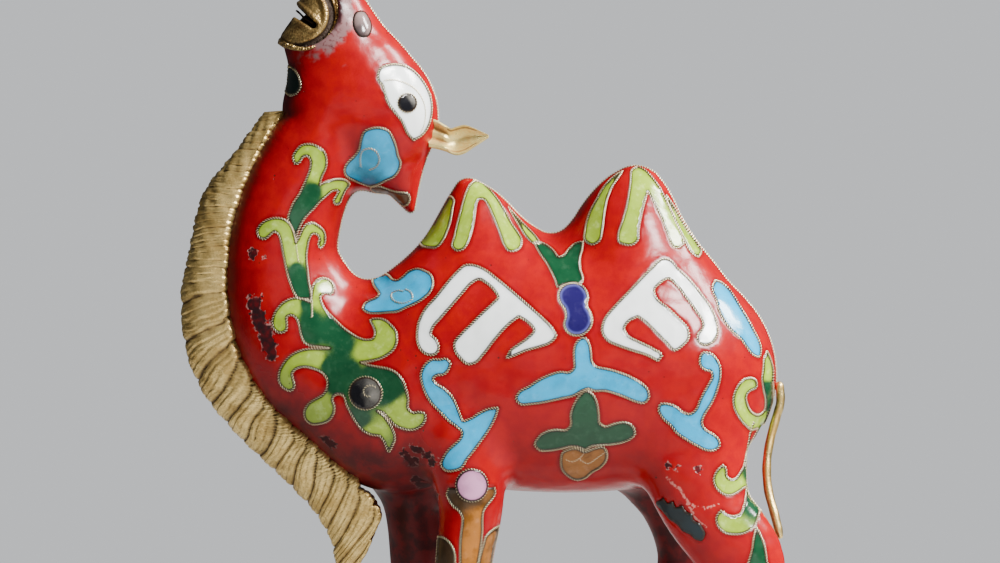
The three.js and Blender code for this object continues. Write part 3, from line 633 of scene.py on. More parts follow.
# %% Clouds, frets and trefoils
SHOULDER_CLOUD = [
    (-17.0, 63.3), (-17.1, 63.9), (-16.5, 64.5), (-15.6, 64.8), (-14.7, 64.5), (-14.1, 63.9),
    (-13.4, 63.8), (-12.6, 64.3), (-11.7, 65.1), (-10.5, 65.5), (-9.3, 65.2), (-8.3, 64.5),
    (-8.0, 63.3), (-8.3, 62.2), (-9.2, 61.2), (-10.4, 60.4), (-11.9, 59.7), (-13.2, 59.1),
    (-14.9, 58.9), (-16.4, 58.8), (-17.7, 58.9), (-18.5, 59.5), (-18.2, 60.3), (-17.4, 60.8),
    (-16.5, 61.2), (-16.1, 61.8), (-16.5, 62.4),
]
SHOULDER_SWIRL = [
    (-12.3, 62.5), (-11.3, 61.9), (-11.1, 61.0), (-12.0, 60.4), (-13.2, 60.4), (-14.1, 60.9),
    (-14.3, 61.6), (-13.5, 62.2), (-12.3, 62.1),
]
FRONT_FRET = [
    (-8.1, 52.5), (-9.3, 52.8), (-10.2, 54.0), (-10.4, 55.6), (-10.1, 57.6), (-9.2, 59.4),
    (-7.5, 61.3), (-5.7, 63.6), (-4.2, 65.2), (-3.2, 66.0), (-1.8, 66.0), (-0.3, 65.4), (1.6, 64.0),
    (3.9, 62.1), (6.3, 60.0), (8.5, 58.0), (10.0, 56.4), (10.5, 55.4), (9.7, 54.4), (7.9, 53.7),
    (5.8, 53.1), (4.2, 52.4), (3.0, 52.0, 1), (3.6, 53.1), (4.9, 54.1), (6.4, 55.2), (7.2, 56.2),
    (6.3, 57.4), (4.9, 58.3, 1), (3.6, 57.3), (2.2, 55.9), (0.9, 54.3), (-0.5, 52.5), (-1.7, 51.3),
    (-2.7, 51.1), (-3.9, 52.0), (-4.7, 53.2), (-4.8, 54.3), (-3.9, 55.5), (-2.4, 57.0),
    (-0.6, 58.8), (1.0, 60.3), (1.8, 61.2), (1.3, 62.1), (0.1, 63.3), (-1.1, 63.9), (-2.1, 63.4),
    (-3.6, 61.8), (-5.4, 59.7), (-6.9, 58.0), (-8.1, 56.5), (-8.3, 55.6), (-7.5, 54.8),
    (-7.1, 53.7), (-7.4, 52.8),
]
REAR_FRET = [
    (26.7, 67.0), (25.0, 65.7), (23.2, 63.9), (21.3, 61.9), (19.3, 59.8), (17.8, 57.9),
    (17.4, 56.2), (18.1, 54.8), (19.9, 53.9), (22.2, 53.1), (24.3, 52.4), (25.8, 51.6, 1),
    (26.4, 52.4), (24.9, 53.5), (23.1, 54.4), (21.3, 55.4), (20.7, 56.5), (21.4, 57.6),
    (22.8, 58.3, 1), (24.0, 57.4), (25.6, 55.8), (27.1, 54.3), (28.3, 53.2), (29.5, 53.9),
    (30.4, 55.0), (30.3, 56.4), (28.9, 58.0), (27.1, 59.7), (25.5, 61.2), (25.2, 62.2),
    (26.1, 63.3), (27.4, 64.0), (28.6, 63.0), (30.0, 61.2), (31.3, 59.4), (32.5, 57.6),
    (32.5, 56.5), (31.8, 55.6), (31.8, 54.6), (32.8, 54.0), (34.0, 54.4), (34.8, 55.8),
    (34.6, 57.6), (33.9, 59.4), (32.4, 61.6), (30.6, 63.8), (28.8, 65.5), (27.6, 66.8),
]
FRONT_HOOK = [
    (-6.9, 51.8), (-8.1, 51.8), (-9.2, 51.0), (-9.8, 49.6), (-9.6, 48.1), (-9.0, 46.5),
    (-8.1, 45.1), (-6.9, 43.9), (-5.6, 42.6), (-4.4, 41.7), (-3.6, 40.9), (-3.8, 40.0),
    (-4.7, 39.1), (-5.7, 38.2), (-6.5, 37.0), (-6.8, 35.9), (-6.0, 35.1), (-5.0, 35.1),
    (-3.8, 35.5), (-2.9, 36.8), (-2.0, 37.9), (-1.1, 39.1), (0.0, 40.6), (0.9, 42.1), (1.5, 43.5),
    (1.8, 44.5, 1), (0.6, 44.4), (-0.9, 43.8), (-2.4, 42.9), (-3.5, 42.6), (-3.9, 43.5),
    (-4.5, 45.0), (-5.3, 46.4), (-6.3, 47.4), (-7.4, 48.1), (-8.0, 48.9), (-7.5, 49.4),
    (-6.3, 49.6), (-5.6, 50.4), (-5.4, 51.3), (-6.0, 51.9),
]
REAR_HOOK = [
    (32.5, 52.8), (32.1, 51.9), (32.2, 50.9), (33.0, 50.2), (33.7, 50.1), (34.0, 49.4),
    (33.4, 48.0), (32.7, 46.8), (32.1, 45.6), (31.6, 44.4), (30.6, 43.6), (29.5, 43.9),
    (28.5, 44.7), (27.3, 45.1), (26.1, 45.0), (25.9, 44.4), (26.5, 43.0), (27.6, 42.0),
    (28.6, 40.8), (30.0, 39.8), (31.6, 38.9), (33.1, 38.2), (34.3, 38.2), (35.1, 38.9),
    (34.9, 39.8), (34.0, 40.6), (33.0, 41.2), (32.4, 42.1), (32.7, 43.4), (33.4, 44.5),
    (34.2, 45.9), (34.8, 47.5), (35.2, 49.2), (35.1, 50.9), (34.5, 52.0), (33.6, 52.8),
]
BLUE_TREFOIL = [
    (14.4, 55.0), (13.6, 54.4), (13.2, 53.2), (13.2, 51.8), (13.2, 50.5), (12.6, 49.9),
    (11.1, 49.9), (9.6, 49.5), (8.1, 48.8), (6.4, 47.7), (4.9, 46.8), (4.5, 45.9), (5.1, 45.1),
    (6.6, 45.1), (8.8, 45.4), (11.1, 45.9), (13.2, 46.4), (14.4, 47.1), (15.3, 47.4), (16.2, 47.1),
    (17.8, 47.1), (19.6, 46.6), (21.4, 45.9), (22.6, 45.4), (23.8, 45.3), (24.4, 46.0),
    (24.3, 47.1), (23.2, 48.3), (21.6, 49.2), (19.8, 49.9), (18.0, 50.4), (16.6, 50.7),
    (15.9, 51.4), (15.7, 52.9), (15.4, 54.3), (15.0, 55.0),
]
GREEN_TREFOIL = [
    (15.0, 47.1), (14.1, 46.4), (13.2, 45.0), (12.7, 43.4), (12.7, 41.9), (12.1, 41.2),
    (10.5, 41.2), (9.0, 40.9), (7.8, 40.0), (7.3, 39.0), (7.9, 38.2), (9.6, 38.1), (11.4, 38.4),
    (12.9, 38.7), (14.1, 38.5), (14.8, 38.2), (15.7, 38.7), (17.1, 38.9), (18.9, 39.0),
    (20.4, 39.3), (21.6, 39.8), (22.3, 40.6), (22.0, 41.7), (21.0, 42.3), (19.3, 42.1),
    (17.8, 41.7), (17.1, 42.1), (16.9, 43.6), (16.6, 45.3), (15.9, 46.6),
]
BUD = [
    (11.5, 37.8), (11.2, 36.6), (11.4, 35.2), (12.3, 34.2), (13.6, 33.6), (14.8, 33.9),
    (15.9, 34.8), (17.1, 35.5), (18.0, 36.6), (18.1, 37.8), (17.7, 38.5), (16.3, 38.4),
    (14.8, 37.9), (13.5, 38.4), (12.3, 38.2),
]
BUD_VEIN_A = [
    (11.7, 36.8), (12.9, 36.4), (13.9, 36.8), (14.8, 37.8),
]
BUD_VEIN_B = [
    (13.9, 36.8), (15.3, 36.1), (16.6, 36.9), (18.0, 37.9),
]
add_cell(SHOULDER_CLOUD, "turquoise", 0.1)
add_wire(SHOULDER_SWIRL)
add_cell(FRONT_FRET, "white")
add_cell(REAR_FRET, "white")
add_cell(FRONT_HOOK, "turquoise")
add_cell(REAR_HOOK, "turquoise")
add_cell(BLUE_TREFOIL, "turquoise")
add_cell(GREEN_TREFOIL, "leaf", 1.0)
add_cell(BUD, "ochre", 0.35)
add_wire(BUD_VEIN_A, radius=0.7)
add_wire(BUD_VEIN_B, radius=0.7)

# %% [markdown]
# ### Humps and saddle
#
# Lime stripes run up both humps and meet at the tips. A green fork fills the saddle, with a
# bean of indigo hung under it.

# %% Stripes, fork and bean
FRONT_STRIPE_LEFT = [
    (-5.4, 76.3), (-6.3, 75.3), (-7.2, 73.8), (-8.3, 72.1), (-9.3, 70.8), (-10.1, 69.8),
    (-9.8, 69.0), (-8.7, 68.7), (-7.5, 68.7), (-6.5, 69.8), (-5.9, 71.1), (-5.4, 72.8),
    (-5.1, 74.5), (-5.0, 76.0),
]
FRONT_CHEVRON = [
    (-1.4, 78.8), (-2.4, 78.1), (-3.0, 77.0), (-3.5, 75.5), (-3.9, 74.0), (-4.4, 72.1),
    (-4.8, 70.3), (-5.1, 68.8), (-4.4, 68.2), (-3.5, 68.4), (-2.9, 69.1), (-2.4, 70.3),
    (-2.0, 71.8), (-1.7, 73.5), (-1.5, 75.0), (-1.1, 75.9), (-0.3, 75.9), (0.3, 75.1), (0.9, 73.8),
    (1.6, 72.1), (2.2, 70.5), (2.7, 69.1), (3.4, 68.2), (4.5, 68.2), (5.2, 68.8), (5.4, 69.8),
    (4.8, 71.0), (3.9, 72.3), (3.0, 74.0), (2.1, 75.5), (1.2, 76.8), (0.3, 77.8), (-0.5, 78.6),
]
FRONT_STRIPE_RIGHT = [
    (3.4, 74.8, 1), (4.5, 73.6), (5.7, 72.3), (6.9, 71.1), (7.8, 70.0), (8.1, 69.3), (7.2, 69.3),
    (6.1, 70.3), (5.1, 71.8), (4.2, 73.3),
]
REAR_STRIPE_LEFT = [
    (20.4, 80.2), (18.9, 79.2), (17.5, 77.7), (16.5, 75.9), (15.4, 73.8), (14.8, 71.5),
    (14.8, 69.8), (15.9, 69.1), (16.9, 69.6), (17.4, 71.5), (17.7, 73.8), (18.1, 75.9),
    (18.7, 77.5), (19.8, 79.2),
]
REAR_CHEVRON = [
    (22.6, 80.8), (21.9, 80.4), (21.7, 78.8), (21.4, 76.5), (21.0, 74.5), (20.4, 72.5),
    (19.8, 70.5), (19.9, 69.5), (20.8, 69.1), (22.0, 69.1), (22.8, 69.8), (22.9, 71.2),
    (23.2, 73.0), (23.7, 75.0), (24.3, 77.1, 1), (25.3, 75.3), (26.2, 73.5), (27.0, 71.5),
    (27.6, 69.8), (28.2, 68.7), (29.1, 68.7), (29.7, 69.3), (29.5, 70.5), (28.8, 72.3),
    (27.9, 74.2), (27.0, 76.0), (26.1, 77.7), (24.9, 79.3), (23.8, 80.4),
]
REAR_STRIPE_RIGHT = [
    (27.1, 76.6, 1), (28.2, 75.0), (29.4, 72.9), (30.6, 71.0), (31.8, 69.3), (32.4, 68.1),
    (31.9, 67.3), (31.0, 67.8), (30.1, 69.1), (29.2, 71.0), (28.3, 72.9), (27.6, 74.8),
]
GREEN_FORK = [
    (7.2, 69.6, 1), (8.2, 69.5), (9.3, 69.0), (10.2, 68.2), (10.9, 67.3), (11.7, 67.6),
    (12.4, 68.5), (13.3, 69.3), (14.5, 69.6, 1), (14.4, 68.5), (14.1, 67.3), (14.1, 65.5),
    (14.5, 63.8), (14.1, 63.1), (13.3, 63.3), (12.6, 63.3), (11.5, 63.0), (10.9, 62.7),
    (10.3, 64.0), (9.7, 65.2), (9.0, 66.5), (8.2, 67.6), (7.6, 68.7),
]
BEAN = [
    (12.6, 63.3), (11.5, 62.8), (10.9, 61.8), (11.1, 60.4), (11.8, 59.4), (12.0, 58.3),
    (11.7, 57.1), (12.0, 56.2), (13.0, 55.5), (14.2, 55.5), (15.3, 56.2), (15.9, 57.4),
    (15.7, 58.8), (15.1, 60.0), (15.3, 61.3), (14.8, 62.5), (13.8, 63.3),
]
for stripe in (FRONT_STRIPE_LEFT, FRONT_CHEVRON, REAR_STRIPE_LEFT, REAR_CHEVRON, REAR_STRIPE_RIGHT):
    add_cell(stripe, "leaf")
add_cell(FRONT_STRIPE_RIGHT, "leaf", 0.15)
add_cell(GREEN_FORK, "leaf", 1.0)
add_cell(BEAN, "indigo")

# %% [markdown]
# ### Rump, thigh and foreleg
#
# The drawing goes on over the joints. The foreleg starts with a lilac disc in an ochre cup.

# %% Rump, thigh and foreleg
RUMP_LEAF = [
    (34.5, 63.8, 1), (34.0, 62.7), (34.6, 60.8), (35.1, 58.9), (36.0, 57.3), (37.2, 55.9),
    (38.4, 54.8), (39.3, 53.5), (40.2, 52.5), (41.1, 52.2), (41.4, 53.2), (41.1, 54.6),
    (40.3, 56.2), (39.4, 57.9), (38.5, 59.4), (37.6, 60.9), (36.6, 62.4), (35.5, 63.4),
]
RUMP_SCROLL = [
    (42.3, 53.1, 1), (41.8, 52.0), (41.7, 50.5), (41.5, 49.0), (41.7, 47.2), (42.0, 45.4),
    (41.7, 43.9), (40.8, 43.4), (39.9, 43.9), (39.3, 45.0), (39.1, 46.2), (39.7, 47.1),
    (40.6, 47.5), (40.6, 48.6), (39.9, 49.0), (38.8, 48.8), (37.8, 47.7), (37.2, 46.2),
    (37.3, 44.5), (38.1, 43.0), (39.0, 41.9), (40.0, 41.2), (40.8, 41.4), (40.3, 40.2),
    (39.6, 38.9), (39.1, 37.4), (38.8, 36.0), (38.2, 34.8), (37.5, 33.9), (36.7, 33.8),
    (36.1, 34.4), (36.1, 35.2), (35.7, 35.9), (34.8, 35.2), (34.2, 33.9), (34.6, 32.5),
    (35.7, 31.6), (36.9, 31.5), (38.1, 32.1), (39.0, 32.7), (39.0, 31.0), (38.7, 29.7),
    (38.1, 28.6), (37.0, 28.3), (36.0, 28.6), (35.4, 29.1), (34.6, 28.2), (34.8, 26.8),
    (35.7, 25.9), (37.3, 25.6), (39.0, 25.9), (40.2, 26.8), (40.9, 28.2), (41.2, 29.5),
    (40.9, 31.2), (40.2, 32.9), (39.7, 34.5), (39.6, 36.3), (39.9, 37.9), (40.6, 39.4),
    (41.5, 41.2), (42.3, 43.0), (42.9, 44.5), (43.2, 46.4), (43.2, 48.4), (43.2, 50.5),
    (42.7, 52.2),
]
THIGH_TEAL = [
    (25.4, 30.2), (26.5, 31.0, 1), (27.2, 30.2), (27.9, 30.5, 1), (28.3, 29.6), (29.4, 29.9, 1),
    (30.0, 28.9), (30.9, 28.6, 1), (31.1, 27.6), (32.0, 27.2, 1), (32.9, 25.7, 1), (32.4, 24.6),
    (31.3, 24.8), (30.6, 25.5, 1), (29.5, 26.0), (28.5, 27.1), (27.5, 27.7, 1), (26.4, 29.0),
]
HOCK_GREEN = [
    (40.6, 26.7, 1), (40.2, 25.1), (39.9, 23.2), (39.3, 21.1), (38.7, 18.8), (38.4, 16.3),
    (39.0, 14.8), (40.2, 14.8), (41.4, 16.1), (42.1, 18.1), (42.3, 20.2), (42.1, 22.3),
    (41.7, 24.4), (41.1, 25.8),
]
CUP = [
    (-5.6, 32.5, 1), (-6.0, 31.6), (-5.7, 30.8), (-5.0, 29.8), (-4.1, 29.1), (-3.6, 28.2),
    (-3.6, 27.0), (-3.8, 25.5), (-3.9, 23.6), (-3.9, 21.0), (-3.8, 17.2), (-3.8, 11.2), (-3.6, 5.5),
    (-2.4, 5.1), (-1.2, 5.5), (-1.2, 11.2), (-1.2, 17.2), (-1.2, 21.0), (-0.9, 22.9), (-0.6, 24.8),
    (-0.5, 26.2), (-0.5, 27.8), (-0.3, 29.1), (0.3, 30.0), (1.0, 30.8), (1.5, 31.8), (1.3, 32.7, 1),
    (-0.2, 32.4), (-2.1, 32.0), (-4.0, 32.4),
]
STRAP_REAR = [
    (2.1, 26.8, 1), (1.0, 26.1), (0.1, 25.3), (-0.3, 24.0), (-0.8, 22.3), (-1.1, 20.6),
    (-0.9, 17.2), (-0.9, 11.2), (-0.9, 5.5), (0.1, 5.5), (0.6, 11.2), (0.7, 17.2), (0.9, 20.6),
    (1.3, 23.2), (1.8, 25.1),
]
SHIN_BROWN = [
    (-8.1, 25.1), (-7.2, 25.3), (-6.2, 24.9), (-5.3, 24.0), (-4.8, 22.8), (-4.7, 21.0),
    (-4.7, 17.2), (-4.8, 11.2), (-4.8, 5.5), (-6.3, 5.2), (-7.4, 5.5), (-7.4, 11.2), (-7.5, 17.2),
    (-7.8, 21.0), (-8.4, 23.2),
]
HIND_FAR, FORE_FAR, SHIN_FAR = -3.6, -6.8, -4.9
DISC_X, DISC_Z, DISC_RADIUS = -2.1, 32.9, 2.4
RUMP_LIME = [(38.6, 47.4), (39.0, 44.6), (40.9, 43.4), (38.0, 42.0), (36.0, 31.5), (37.8, 33.0), (35.8, 26.0)]
RUMP_LIME += [(42.5, 51.5), (42.3, 49.8)]
RUMP_GREEN = [(42.3, 47.5), (42.6, 45.0), (39.6, 38.8), (40.0, 34.5), (39.8, 30.6)]
add_cell(RUMP_LEAF, "turquoise", 0.1)
add_cell(RUMP_SCROLL, "leaf", tones(RUMP_LIME, RUMP_GREEN))
# Painted shade: the cloud on the shaded front of the thigh is filled with a dark teal.
add_cell(THIGH_TEAL, "teal", 0.5, HIND_FAR, wire=False)
add_cell(HOCK_GREEN, "leaf", 1.0, HIND_FAR)
CUP_TONES = [(-1.0, 28.2, 0.2), (-2.0, 22.0, 0.1), (-2.2, 26.0, 0.3), (-4.8, 31.2, 1.0)]
CUP_TONES += [(-2.0, 31.0, 0.9), (0.8, 31.6, 0.6)]
CUP_RIM = CUP[:-3]
add_cell(CUP, "ochre", CUP_TONES, FORE_FAR, wire=False)
add_wire(CUP_RIM, FORE_FAR)
add_cell(circle(DISC_X, DISC_Z, DISC_RADIUS), "lilac", 0.0, FORE_FAR, lift=2 * OVER_A_CELL)
add_cell(STRAP_REAR, "ochre", 0.4, FORE_FAR)
add_cell(SHIN_BROWN, "ochre", 1.0, SHIN_FAR)
print("cells:", len(CELLS), "wires:", len(WIRES))

# %% [markdown]
# ## Wires
#
# The wire is two thin ones twisted together, which is why its edge looks like a row of beads. Each
# wire here is a tube of short rings. Two corners of every ring stand out and the rest lie back, and
# the next ring has them one corner further round, so the ridges wind about it like a thread. The
# wires are laid first, because the enamel climbs a little wherever it touches one.

# %% Carry the wires onto both flanks
BEAD_PITCH = 0.42
RINGS_PER_BEAD = 3
SIDES = 2 * RINGS_PER_BEAD
RIDGE, VALLEY = 0.23, 0.08
WIRE_END = 0.02  # radius at an open end
WIRE_DEPTH = 0.2  # of its middle under the surface of the solid
RIDGE_DIRT_AND_SHADE, VALLEY_DIRT_AND_SHADE = -0.2, 1.5


def shifted(flat, item, side):
    return flat if side == LEFT else flat + [item["far"], 0.0]


def twisted_tube(places, facings, closed, radius):
    """Rings of a twisted wire along places, and the quads between them."""
    path = resample(np.hstack([places, facings]), BEAD_PITCH / RINGS_PER_BEAD, closed)
    facing = unit(path[:, 3:])
    middle = path[:, :3] - WIRE_DEPTH * facing
    along = np.roll(middle, -1, 0) - np.roll(middle, 1, 0)
    if not closed:
        along[0], along[-1] = middle[1] - middle[0], middle[-1] - middle[-2]
    side = unit(np.cross(along, facing))
    up = unit(np.cross(side, along))
    ring = np.arange(len(middle))[:, None]
    corner = np.arange(SIDES)[None, :]
    on_ridge = (corner - ring) % RINGS_PER_BEAD == 0
    reach = radius * np.where(on_ridge, RIDGE, VALLEY)
    if not closed:
        reach[[0, -1]] = WIRE_END
    turn = 2 * math.pi * corner / SIDES
    out = np.cos(turn)[..., None] * up[:, None] + np.sin(turn)[..., None] * side[:, None]
    points = (middle[:, None] + reach[..., None] * out).reshape(-1, 3)
    # Brown between the beads: tarnish, and painted shade that deepens the gaps between them.
    dirt_and_shade = np.where(on_ridge, RIDGE_DIRT_AND_SHADE, VALLEY_DIRT_AND_SHADE).ravel()
    return points, tube_faces(len(middle), SIDES, closed), dirt_and_shade, middle


def tube_faces(rings, sides, closed):
    """Triangles between rings, split along the ridges."""
    ring = np.arange(rings if closed else rings - 1)[:, None]
    corner = np.arange(sides)[None, :]
    a = ring * sides + corner
    b = ring * sides + (corner + 1) % sides
    c = (ring + 1) % rings * sides + (corner + 1) % sides
    d = (ring + 1) % rings * sides + corner
    return np.vstack([np.stack([a, b, c], -1).reshape(-1, 3), np.stack([a, c, d], -1).reshape(-1, 3)])


def join(parts):
    """Points, faces and the values at the points of many parts, each as one list."""
    points, faces, *values = zip(*parts)
    offset = np.cumsum([0] + [len(some) for some in points[:-1]])
    faces = np.vstack([some + n for some, n in zip(faces, offset)])
    return np.vstack(points), faces, *[np.hstack(numbers) for numbers in values]


wire_points = []
for side, name in ((LEFT, "wires_left"), (RIGHT, "wires_right")):
    tubes = []
    for wire in WIRES:
        places, facings = on_flank(shifted(wire["path"], wire, side), side)
        *tube, middle = twisted_tube(places, facings, wire["closed"], wire["radius"])
        tubes.append(tube)
        wire_points.append(middle)
    points, faces, dirt_and_shade = join(tubes)
    make_piece(name, points, faces, values={"dirt_and_shade": dirt_and_shade})
    print("length of wire in mm:", round(len(points) / SIDES * BEAD_PITCH / RINGS_PER_BEAD))

# %% [markdown]
# ### The seam
#
# The two stamped halves meet along the middle, and the maker hides the seam under one more gilt
# wire. It is found by cutting the net of the shell with the middle plane.

# %% Seam wire along the back, and a dark line under the belly
def middle_line():
    """The shell's outline in the plane y = 0 as one ring of points."""
    a = shell_quads
    b = np.roll(shell_quads, -1, axis=1)
    crossed = (shell_points[a, 1] < 0) != (shell_points[b, 1] < 0)
    rows = np.flatnonzero(crossed.sum(1) == 2)
    links = {}
    for row in rows:
        ends = [tuple(sorted((a[row, n], b[row, n]))) for n in np.flatnonzero(crossed[row])]
        links.setdefault(ends[0], []).append(ends[1])
        links.setdefault(ends[1], []).append(ends[0])
    longest = []
    while links:
        chain = [next(iter(links))]
        while chain[-1] in links:
            onward = links.pop(chain[-1])
            chain.append(onward[0] if onward[0] in links else onward[-1])
        longest = max(longest, chain[:-1], key=len)
    return shell_points[np.array(longest)].mean(1)


def part_of_ring(ring, start, end, through):
    """The piece of a ring from near start to near end that passes near a third place."""
    nearest = [int(np.linalg.norm(ring[:, [0, 2]] - p, axis=1).argmin()) for p in (start, end, through)]
    first, last, middle = nearest
    ring = np.roll(ring, -first, axis=0)
    last, middle = (last - first) % len(ring), (middle - first) % len(ring)
    return ring[: last + 1] if middle <= last else ring[last:][::-1]


ring = middle_line()
ring[:, 1] = 0
SEAM = ((-22.9, 109.0), (44.3, 46.0), (12.0, 67.5))  # forehead, humps and rump
BELLY_LINE = ((42.0, 40.0), (-4.0, 32.0), (10.0, 32.0))  # below, the seam is only a dark line: grime, and painted shade under the belly
SEAM_STEP, SEAM_RADIUS = 0.25, 1.25


def along_middle(stretch):
    return onto_surface(shell_field, resample(part_of_ring(ring, *stretch), SEAM_STEP, False))


points, faces, dirt_and_shade, middle = twisted_tube(*along_middle(SEAM), False, SEAM_RADIUS)
wire_points += [middle, along_middle(BELLY_LINE)[0]]
make_piece("seam_wire", points, faces, values={"dirt_and_shade": dirt_and_shade})

# %% [markdown]
# ## Enamel in the cells
#
# Frit is packed between the wires and fired until it melts. It shrinks as it melts and clings to
# the wires, so every cell is a shallow dish. One closed pad is made for each cell: its outline and
# a grid of points inside it are joined into triangles on the flat drawing, the whole is carried
# onto the flank, and the height follows the distance to the nearest wire.

# %% Pads of enamel
PAD_GRID = 0.42
BORDER_STEP, ROW_STEP = 0.6 * PAD_GRID, 0.87 * PAD_GRID
FREE_RIM = 0.4 * PAD_GRID  # no inner point lies nearer to the border
PAD_TOP = -0.13
PAD_BOTTOM = -0.4
CLIMB, CLIMB_WIDTH = 0.07, 0.35
CROWN_WIDTH = 1.3


def inside_outline(flat, path):
    x, z = flat[:, :1], flat[:, 1:2]
    x1, z1 = path.T
    x2, z2 = np.roll(path, -1, 0).T
    spans = (z1 > z) != (z2 > z)
    slope = (x2 - x1) / np.where(z2 == z1, 1, z2 - z1)
    return (spans & (x < x1 + (z - z1) * slope)).sum(1) % 2 == 1


def tree_of(places):
    tree = KDTree(len(places))
    for i, place in enumerate(places):
        tree.insert(place, i)
    tree.balance()
    return tree


def distance_to(path, flat):
    tree = tree_of([(x, z, 0) for x, z in path])
    return np.array([tree.find((x, z, 0))[2] for x, z in flat])


def fill_outline(path):
    """Flat points, triangles and distance to the outline."""
    border = resample(path, BORDER_STEP, True)
    low, high = border.min(0), border.max(0)
    rows = np.arange(low[1], high[1], ROW_STEP)
    grid = []
    for n, z in enumerate(rows):
        xs = np.arange(low[0] + (n % 2) * PAD_GRID / 2, high[0], PAD_GRID)
        grid += [(x, z) for x in xs]
    grid = np.array(grid)
    grid = grid[inside_outline(grid, path)]
    if len(grid):
        grid = grid[distance_to(path, grid) > FREE_RIM]
    flat = np.vstack([border, grid]) if len(grid) else border
    edges = [(i, (i + 1) % len(border)) for i in range(len(border))]
    out = delaunay_2d_cdt([Vector(p) for p in flat.tolist()], edges, [], 1, 1e-5)
    flat = np.array([tuple(v) for v in out[0]])
    return flat, np.array(out[2]), distance_to(path, flat)


def tone_at(flat, spots):
    if isinstance(spots, float):
        return np.full(len(flat), spots)
    spots = np.array(spots)
    away = np.linalg.norm(flat[:, None] - spots[None, :, :2], axis=2)
    weight = 1 / (away + 0.1) ** 3
    return (weight * spots[:, 2]).sum(1) / weight.sum(1)


def closed_pad(top, bottom, triangles):
    """Two skins joined round the border."""
    count = len(top)
    ways = {}
    for t in triangles:
        for a, b in ((t[0], t[1]), (t[1], t[2]), (t[2], t[0])):
            ways[(a, b)] = ways.get((a, b), 0) + 1
    rim = [(a, b) for a, b in ways if (b, a) not in ways]
    walls = [(b, a, a + count) for a, b in rim] + [(b, a + count, b + count) for a, b in rim]
    faces = np.vstack([triangles, triangles[:, ::-1] + count, np.array(walls)])
    return np.vstack([top, bottom]), faces


def pad(cell, side, flat, triangles, away, tone):
    places, facings = on_flank(shifted(flat, cell, side), side)
    height = PAD_TOP + cell["lift"] + CLIMB * np.exp(-away / CLIMB_WIDTH)
    if cell["crown"]:
        height = PAD_TOP - CLIMB + cell["crown"] * np.sqrt(fade_in(away, 0, CROWN_WIDTH))
    order = triangles if side == LEFT else triangles[:, ::-1]
    points, faces = closed_pad(places + facings * height[:, None], places + facings * PAD_BOTTOM, order)
    return points, faces, np.tile(tone, 2), np.tile(away, 2)


pads = {}
for cell in CELLS:
    flat, triangles, away = fill_outline(cell["path"])
    tone = tone_at(flat, cell["tone"])
    for side in (LEFT, RIGHT):
        pads.setdefault(cell["enamel"], []).append(pad(cell, side, flat, triangles, away, tone))
for enamel, parts in pads.items():
    points, faces, tone, away = join(parts)
    make_piece(enamel + "_enamel", points, faces, values={"tone": tone, "away": away})

# %% [markdown]
# ## The red ground
#
# Everything outside the cells is one red ground. It is the shell's own net, set down a little so
# that the wires stand proud, climbing where it touches them and sinking out of the way under the
# pads.

# %% Red enamel over the whole shell
GROUND = -0.15
SINK, SINK_FROM, SINK_WIDTH = 0.3, 0.1, 0.4
SOLE_EDGE = 0.5  # the soles stand on the ground, so nothing is taken off them
PAINTED_SHADE_BELOW, PAINTED_SHADE_FADE = 34.5, 3.0  # painted shade, and a rougher finish, on the inner faces of the legs
SHADE_BESIDE_MANE, NECK_BEFORE = (0.6, 0.25), -8.0  # and on the neck beside the mane, where it faces forward
SHADE_UNDER_CHEST, CHEST_BEFORE, CHEST_BELOW = (0.25, 0.3), (5.0, 3.0), 60.0  # and on the chest, where it faces down
LESS_SHADE = 0.9
SMOKE_REACH = 3.2  # soldering the muzzle on has greyed the enamel beside it
NONE_NEAR = 3.0  # the distance that is noted where there is no chip or crack
CHIP_STEP, CRACK_STEP = 0.2, 0.1
FACING_EYE = -0.1  # what is turned away more than this is not seen from the side
CHIPS = [  # where the enamel has flaked off the left flank: points on a line and a half width
    ([(-34.8, 60.4), (-34.2, 58.9), (-33.3, 56.6), (-32.4, 54.4), (-31.9, 52.6)], 1.0),
    ([(-34.7, 68.3), (-34.5, 66.6)], 0.3),
    ([(-32.9, 67.2)], 0.3),
    ([(-33.4, 61.5)], 0.35),
    ([(-24.0, 39.9), (-22.4, 39.2)], 0.55),
    ([(-12.0, 38.0), (-10.6, 36.6)], 0.6),
    ([(-10.4, 33.8), (-8.0, 31.4)], 0.7),
    ([(-10.6, 38.6), (-9.4, 38.2), (-8.0, 36.6)], 0.6),
    ([(27.0, 36.2), (28.2, 36.0)], 0.35),
    ([(31.3, 35.7)], 0.45),
]
CRACKS = [  # pale cracks in the enamel of the left thigh
    [
        (26.8, 34.4), (27.7, 33.4), (28.8, 32.7), (29.2, 31.8), (29.7, 31.0), (30.3, 29.7),
        (30.9, 28.5), (32.4, 27.3),
    ],
    [(29.7, 30.9), (30.6, 30.4), (31.5, 30.0), (33.0, 30.1), (34.3, 30.6)],
]

